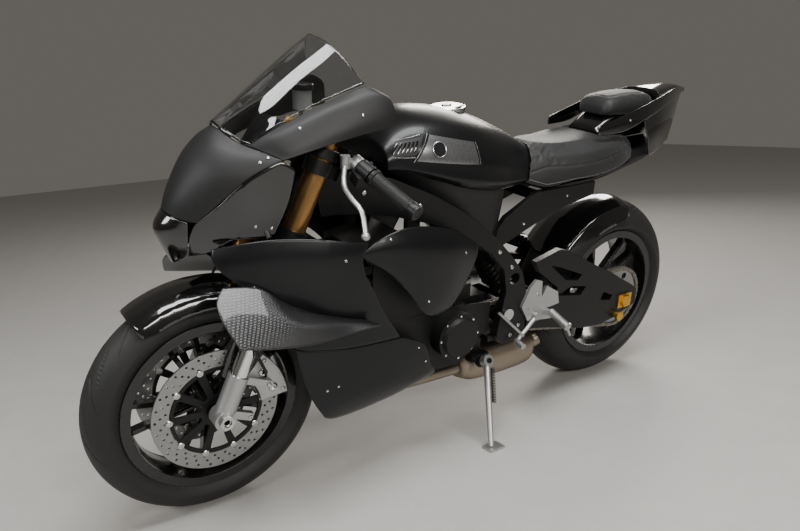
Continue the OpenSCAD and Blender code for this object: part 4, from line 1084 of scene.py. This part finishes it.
def tube(points, wire, sides=8):
    verts, faces = [], []
    last = len(points) - 1
    for i, p in enumerate(points):
        along = (points[min(i + 1, last)] - points[max(i - 1, 0)]).normalized()
        u = along.cross(Vector((0.31, 0.52, 0.79))).normalized()
        v = along.cross(u)
        verts += [p + wire * (math.cos(a) * u + math.sin(a) * v)
                  for a in np.linspace(0, 2 * math.pi, sides, False)]
    for i in range(last):
        faces += [(i * sides + j, i * sides + (j + 1) % sides, (i + 1) * sides + (j + 1) % sides,
                   (i + 1) * sides + j)
                  for j in range(sides)]
    faces += [tuple(range(sides)), tuple(last * sides + j for j in reversed(range(sides)))]
    mesh = closed_mesh("tube", verts, faces)
    shade(mesh, 60)
    return mesh


# %% Panels and thin trims that follow a surface
def patch(obj, corners, side, steps=14, lift=0.0009, depth=0.003):
    """A thin panel over a surface. Corners are four (x, z) places in order, as seen from the side."""
    a, b, c, d = [Vector(corner) for corner in corners]
    outer, inner = [], []
    for i in range(steps + 1):
        for j in range(steps + 1):
            u, v = i / steps, j / steps
            x, z = (1 - u) * ((1 - v) * a + v * b) + u * ((1 - v) * d + v * c)
            place, normal = from_side(obj, x, z, side)
            if place is None:
                return None
            edge = min(u, v, 1 - u, 1 - v) * steps
            outer.append(place + normal * (lift if edge >= 1 else lift * 0.5))
            inner.append(place - normal * depth)
    row, count = steps + 1, (steps + 1) ** 2
    faces = []
    for i in range(steps):
        for j in range(steps):
            k = i * row + j
            faces += [(k, k + 1, k + row + 1, k + row),
                      tuple(count + n for n in (k, k + row, k + row + 1, k + 1))]
    rim = ([i * row for i in range(row)] + [steps * row + j for j in range(1, row)]
           + [i * row + steps for i in range(steps - 1, -1, -1)] + list(range(steps - 1, 0, -1)))
    faces += [(p, q, q + count, p + count) for p, q in zip(rim, rim[1:] + rim[:1])]
    mesh = closed_mesh("patch", outer + inner, faces)
    shade(mesh, 35)
    return mesh


def trim(obj, line, side, wire=0.0011, gap=9.0):
    """A thin round trim along (x, z) places on a surface."""
    points = []
    for (x0, z0), (x1, z1) in zip(line, line[1:]):
        count = max(1, round(math.hypot(x1 - x0, z1 - z0) / gap))
        for t in np.linspace(0, 1, count, False):
            points.append(from_side(obj, x0 + (x1 - x0) * t, z0 + (z1 - z0) * t, side)[0])
    points.append(from_side(obj, *line[-1], side)[0])
    points = [p for p in points if p is not None]
    return tube(points, wire) if len(points) > 2 else None


def both_sides(name, maker, mat, body, slot):
    """The same small thing on the left and on the right, as one object."""
    meshes = [mesh for mesh in (maker(1), maker(-1)) if mesh]
    if not meshes:
        print("nothing made for", name)
        return
    mesh = joined(meshes)
    shade(mesh, 40)
    piece(name, mesh, mat, body, slot)
    print(name, len(mesh.polygons), "faces")


# %% The tank's knee panels, vent panels, vents and round badges
TANK = SKINS["fuel_tank"]
# The knee panels' colour is grey metallic with painted reflection in it.
both_sides("knee_panels", lambda side: patch(TANK, ((900, 887), (853, 946), (716, 918), (708, 862)), side),
           PAINTED_SHEEN_GREY, "chassis", "satin_black")
both_sides("vent_panels",
           lambda side: patch(TANK, ((956, 899), (944, 932), (872, 944), (906, 898)), side, lift=0.0006),
           MATTE, "chassis", "matte_black")
SLAT = [(-0.014, -0.0026), (0.014, -0.0026), (0.016, 0), (0.014, 0.0026), (-0.014, 0.0026), (-0.016, 0)]
slat = flat(lambda curve: outline(curve, SLAT), 0.0040, 0.0009)
spots, badge_spots = [], []
for side in (1, -1):
    for k in range(6):
        place, normal = from_side(TANK, 898 + 10.2 * k, 922 - 1.2 * k, side)
        if place is None:
            continue
        lean_way = (way(0.42, 0, -1) - normal * way(0.42, 0, -1).dot(normal)).normalized()
        turn = Matrix((lean_way, normal.cross(lean_way), normal)).transposed().to_4x4()
        spots.append(Matrix.Translation(place) @ turn)
    place, normal = from_side(TANK, 836, 911, side)
    badge_spots.append(facing(place, normal, 0.0205))
# The vents are slots whose insides lie in shade. They are drawn as raised slats in the darkest gloss black,
# as painted shade.
repeat("tank_vents", slat, spots, GLOSS, "chassis", "gloss_black")
badge = lathe([(1.0, -0.12), (1.0, 0.10), (0.95, 0.14), (0.88, 0.14), (0.85, 0.09), (0.05, 0.10)], 48)
repeat("badge_discs", badge, badge_spots, GLASS_BLACK, "chassis", "satin_black")
badge_rim = lathe([(0.99, 0.06), (0.98, 0.14), (0.93, 0.16), (0.88, 0.14), (0.89, 0.06)], 48)
repeat("badge_rims", badge_rim, badge_spots, BRIGHT, "chassis", "satin_black")


# %% Covers that close the space between the tank and the frame
def cover_mesh(rows, inward=3.0):
    """A thin shell through rows of (x, y, z) places in millimetres, smoothed."""
    across = len(rows[0])
    verts = [at(x, y, z) for row in rows for x, y, z in row]
    verts += [at(x, y - math.copysign(inward, y), z) for row in rows for x, y, z in row]
    half = len(verts) // 2
    faces = []
    for i in range(len(rows) - 1):
        for j in range(across - 1):
            k = i * across + j
            faces += [(k, k + 1, k + across + 1, k + across),
                      tuple(half + n for n in (k, k + across, k + across + 1, k + 1))]
    last = (len(rows) - 1) * across
    rim = (list(range(across)) + [i * across + across - 1 for i in range(1, len(rows))]
           + list(range(last + across - 2, last - 1, -1))
           + [i * across for i in range(len(rows) - 2, 0, -1)])
    faces += [(p, p + half, q + half, q) for p, q in zip(rim, rim[1:] + rim[:1])]
    return subdivided(closed_mesh("cover", verts, faces), 2)


COVER = (((950, 100, 868), (880, 130, 850), (790, 146, 820), (700, 144, 799), (610, 124, 785),
          (530, 94, 778)),
         ((947, 84, 852), (872, 116, 826), (786, 134, 795), (705, 134, 755), (628, 119, 715),
          (552, 98, 690)),
         ((944, 60, 834), (866, 100, 802), (778, 122, 754), (692, 124, 702), (612, 120, 642),
          (565, 100, 604)))
both_sides("under_tank_covers",
           lambda side: cover_mesh([[(x, side * y, z) for x, y, z in row] for row in COVER]),
           MATTE, "chassis", "matte_black")

# %% Edge lines, bright from the grey metallic colour with painted reflection
EDGES = (("tank_edge", TANK, ((958, 897), (904, 896))), ("tank_ridge", TANK, ((908, 884), (858, 949))),
         ("tank_top_edge", TANK, ((946, 934), (880, 947))),
         ("knee_rear_edge", TANK, ((702, 862), (710, 918))),
         ("seat_edge", rider, ((452, 778), (400, 762), (300, 773), (200, 778), (100, 794), (45, 809))),
         ("tail_upper_edge", SKINS["tail_wings"], ((0, 920), (-100, 949), (-200, 969), (-280, 979))),
         ("tail_lower_edge", SKINS["tail_wings"], ((-58, 808), (-112, 818), (-170, 829), (-222, 839))))
for name, obj, line in EDGES:
    both_sides(name + "s", lambda side, obj=obj, line=line: trim(obj, line, side), PAINTED_SHEEN_GREY, "chassis",
               "satin_black")


# %% Springs
piece("side_stand_spring", coil(at(592, 166, 232), at(622, 218, 150), 0.0062, 0.0013, 22), GREASE,
      "side_stand", "black_metal")
piece("shock_spring", coil(at(470, 0, 433), at(534, 0, 537), 0.0290, 0.0045, 6), GREASE, "chassis",
      "black_metal")

# %% Display and its frame
PANEL = BIKE @ shift(1.232, 0, 0.938) @ rotate(math.radians(-35), "Y")


def rounded(width, height, radius):
    points = []
    for cx, cy, start in ((1, 1, 0), (-1, 1, 90), (-1, -1, 180), (1, -1, 270)):
        for a in np.radians(np.linspace(start, start + 90, 6)):
            points.append((cx * (width / 2 - radius) + radius * math.cos(a),
                           cy * (height / 2 - radius) + radius * math.sin(a)))
    return points


face = PANEL @ shift(-0.0142, 0, 0.012) @ rotate(-math.pi / 2, "Y") @ rotate(math.pi / 2, "Z")
piece("display_glass", moved(flat(lambda c: outline(c, rounded(0.128, 0.076, 0.008)), 0.002), face),
      GLASS_BLACK, "chassis", "gloss_black")
piece("display_frame", moved(flat(lambda c: (outline(c, rounded(0.141, 0.084, 0.010)),
                                             outline(c, rounded(0.129, 0.077, 0.008))), 0.004), face),
      BLACK, "chassis", "gloss_black")
print("details done")

# %% [markdown]
# A plain pale floor, a large soft light overhead and softer ones from the sides, so that black gloss
# panels show long, quiet reflections.

# %% Floor and lights
floor = placed("floor", bpy.data.meshes.new("floor"))
FLOOR_HALF = 9.0
corners = [(x * FLOOR_HALF, y * FLOOR_HALF, 0) for x, y in ((-1, -1), (1, -1), (1, 1), (-1, 1))]
floor.data.from_pydata(corners, [], [(0, 1, 2, 3)])
paint(floor, finish("floor_grey", (0.42, 0.41, 0.395), 0.5, dust=0.0, marks=0.1, grain=(60, 0.05)))
WORLD = bpy.data.worlds.new("studio")
bpy.context.scene.world = WORLD
WORLD.use_nodes = True
WORLD.node_tree.nodes["Background"].inputs[0].default_value = (0.86, 0.8, 0.71, 1)
WORLD.node_tree.nodes["Background"].inputs[1].default_value = 0.15


def lamp(name, place, target, size, power, colour=(1, 1, 1)):
    light = bpy.data.lights.new(name, "AREA")
    light.shape, light.size, light.size_y, light.energy, light.color = "RECTANGLE", *size, power, colour
    aim = (Vector(target) - Vector(place)).to_track_quat("-Z", "Y").to_matrix().to_4x4()
    placed(name, light).matrix_world = Matrix.Translation(place) @ aim


lamp("ceiling", (0.3, 0.9, 3.4), (0.1, 0.1, 0.5), (3.2, 0.9), 150)
lamp("left", (0.6, 3.6, 2.2), (0.2, 0.0, 0.6), (3.0, 0.6), 110, (1, 0.97, 0.92))
lamp("front", (3.4, 0.4, 2.0), (0.4, 0.0, 0.6), (1.4, 0.6), 44)
lamp("back", (-2.8, -2.4, 2.6), (0.0, 0.0, 0.7), (2.0, 1.0), 80, (1, 0.95, 0.88))
print("stage ready")

# %% Bring the scene up to date
bpy.context.view_layer.update()
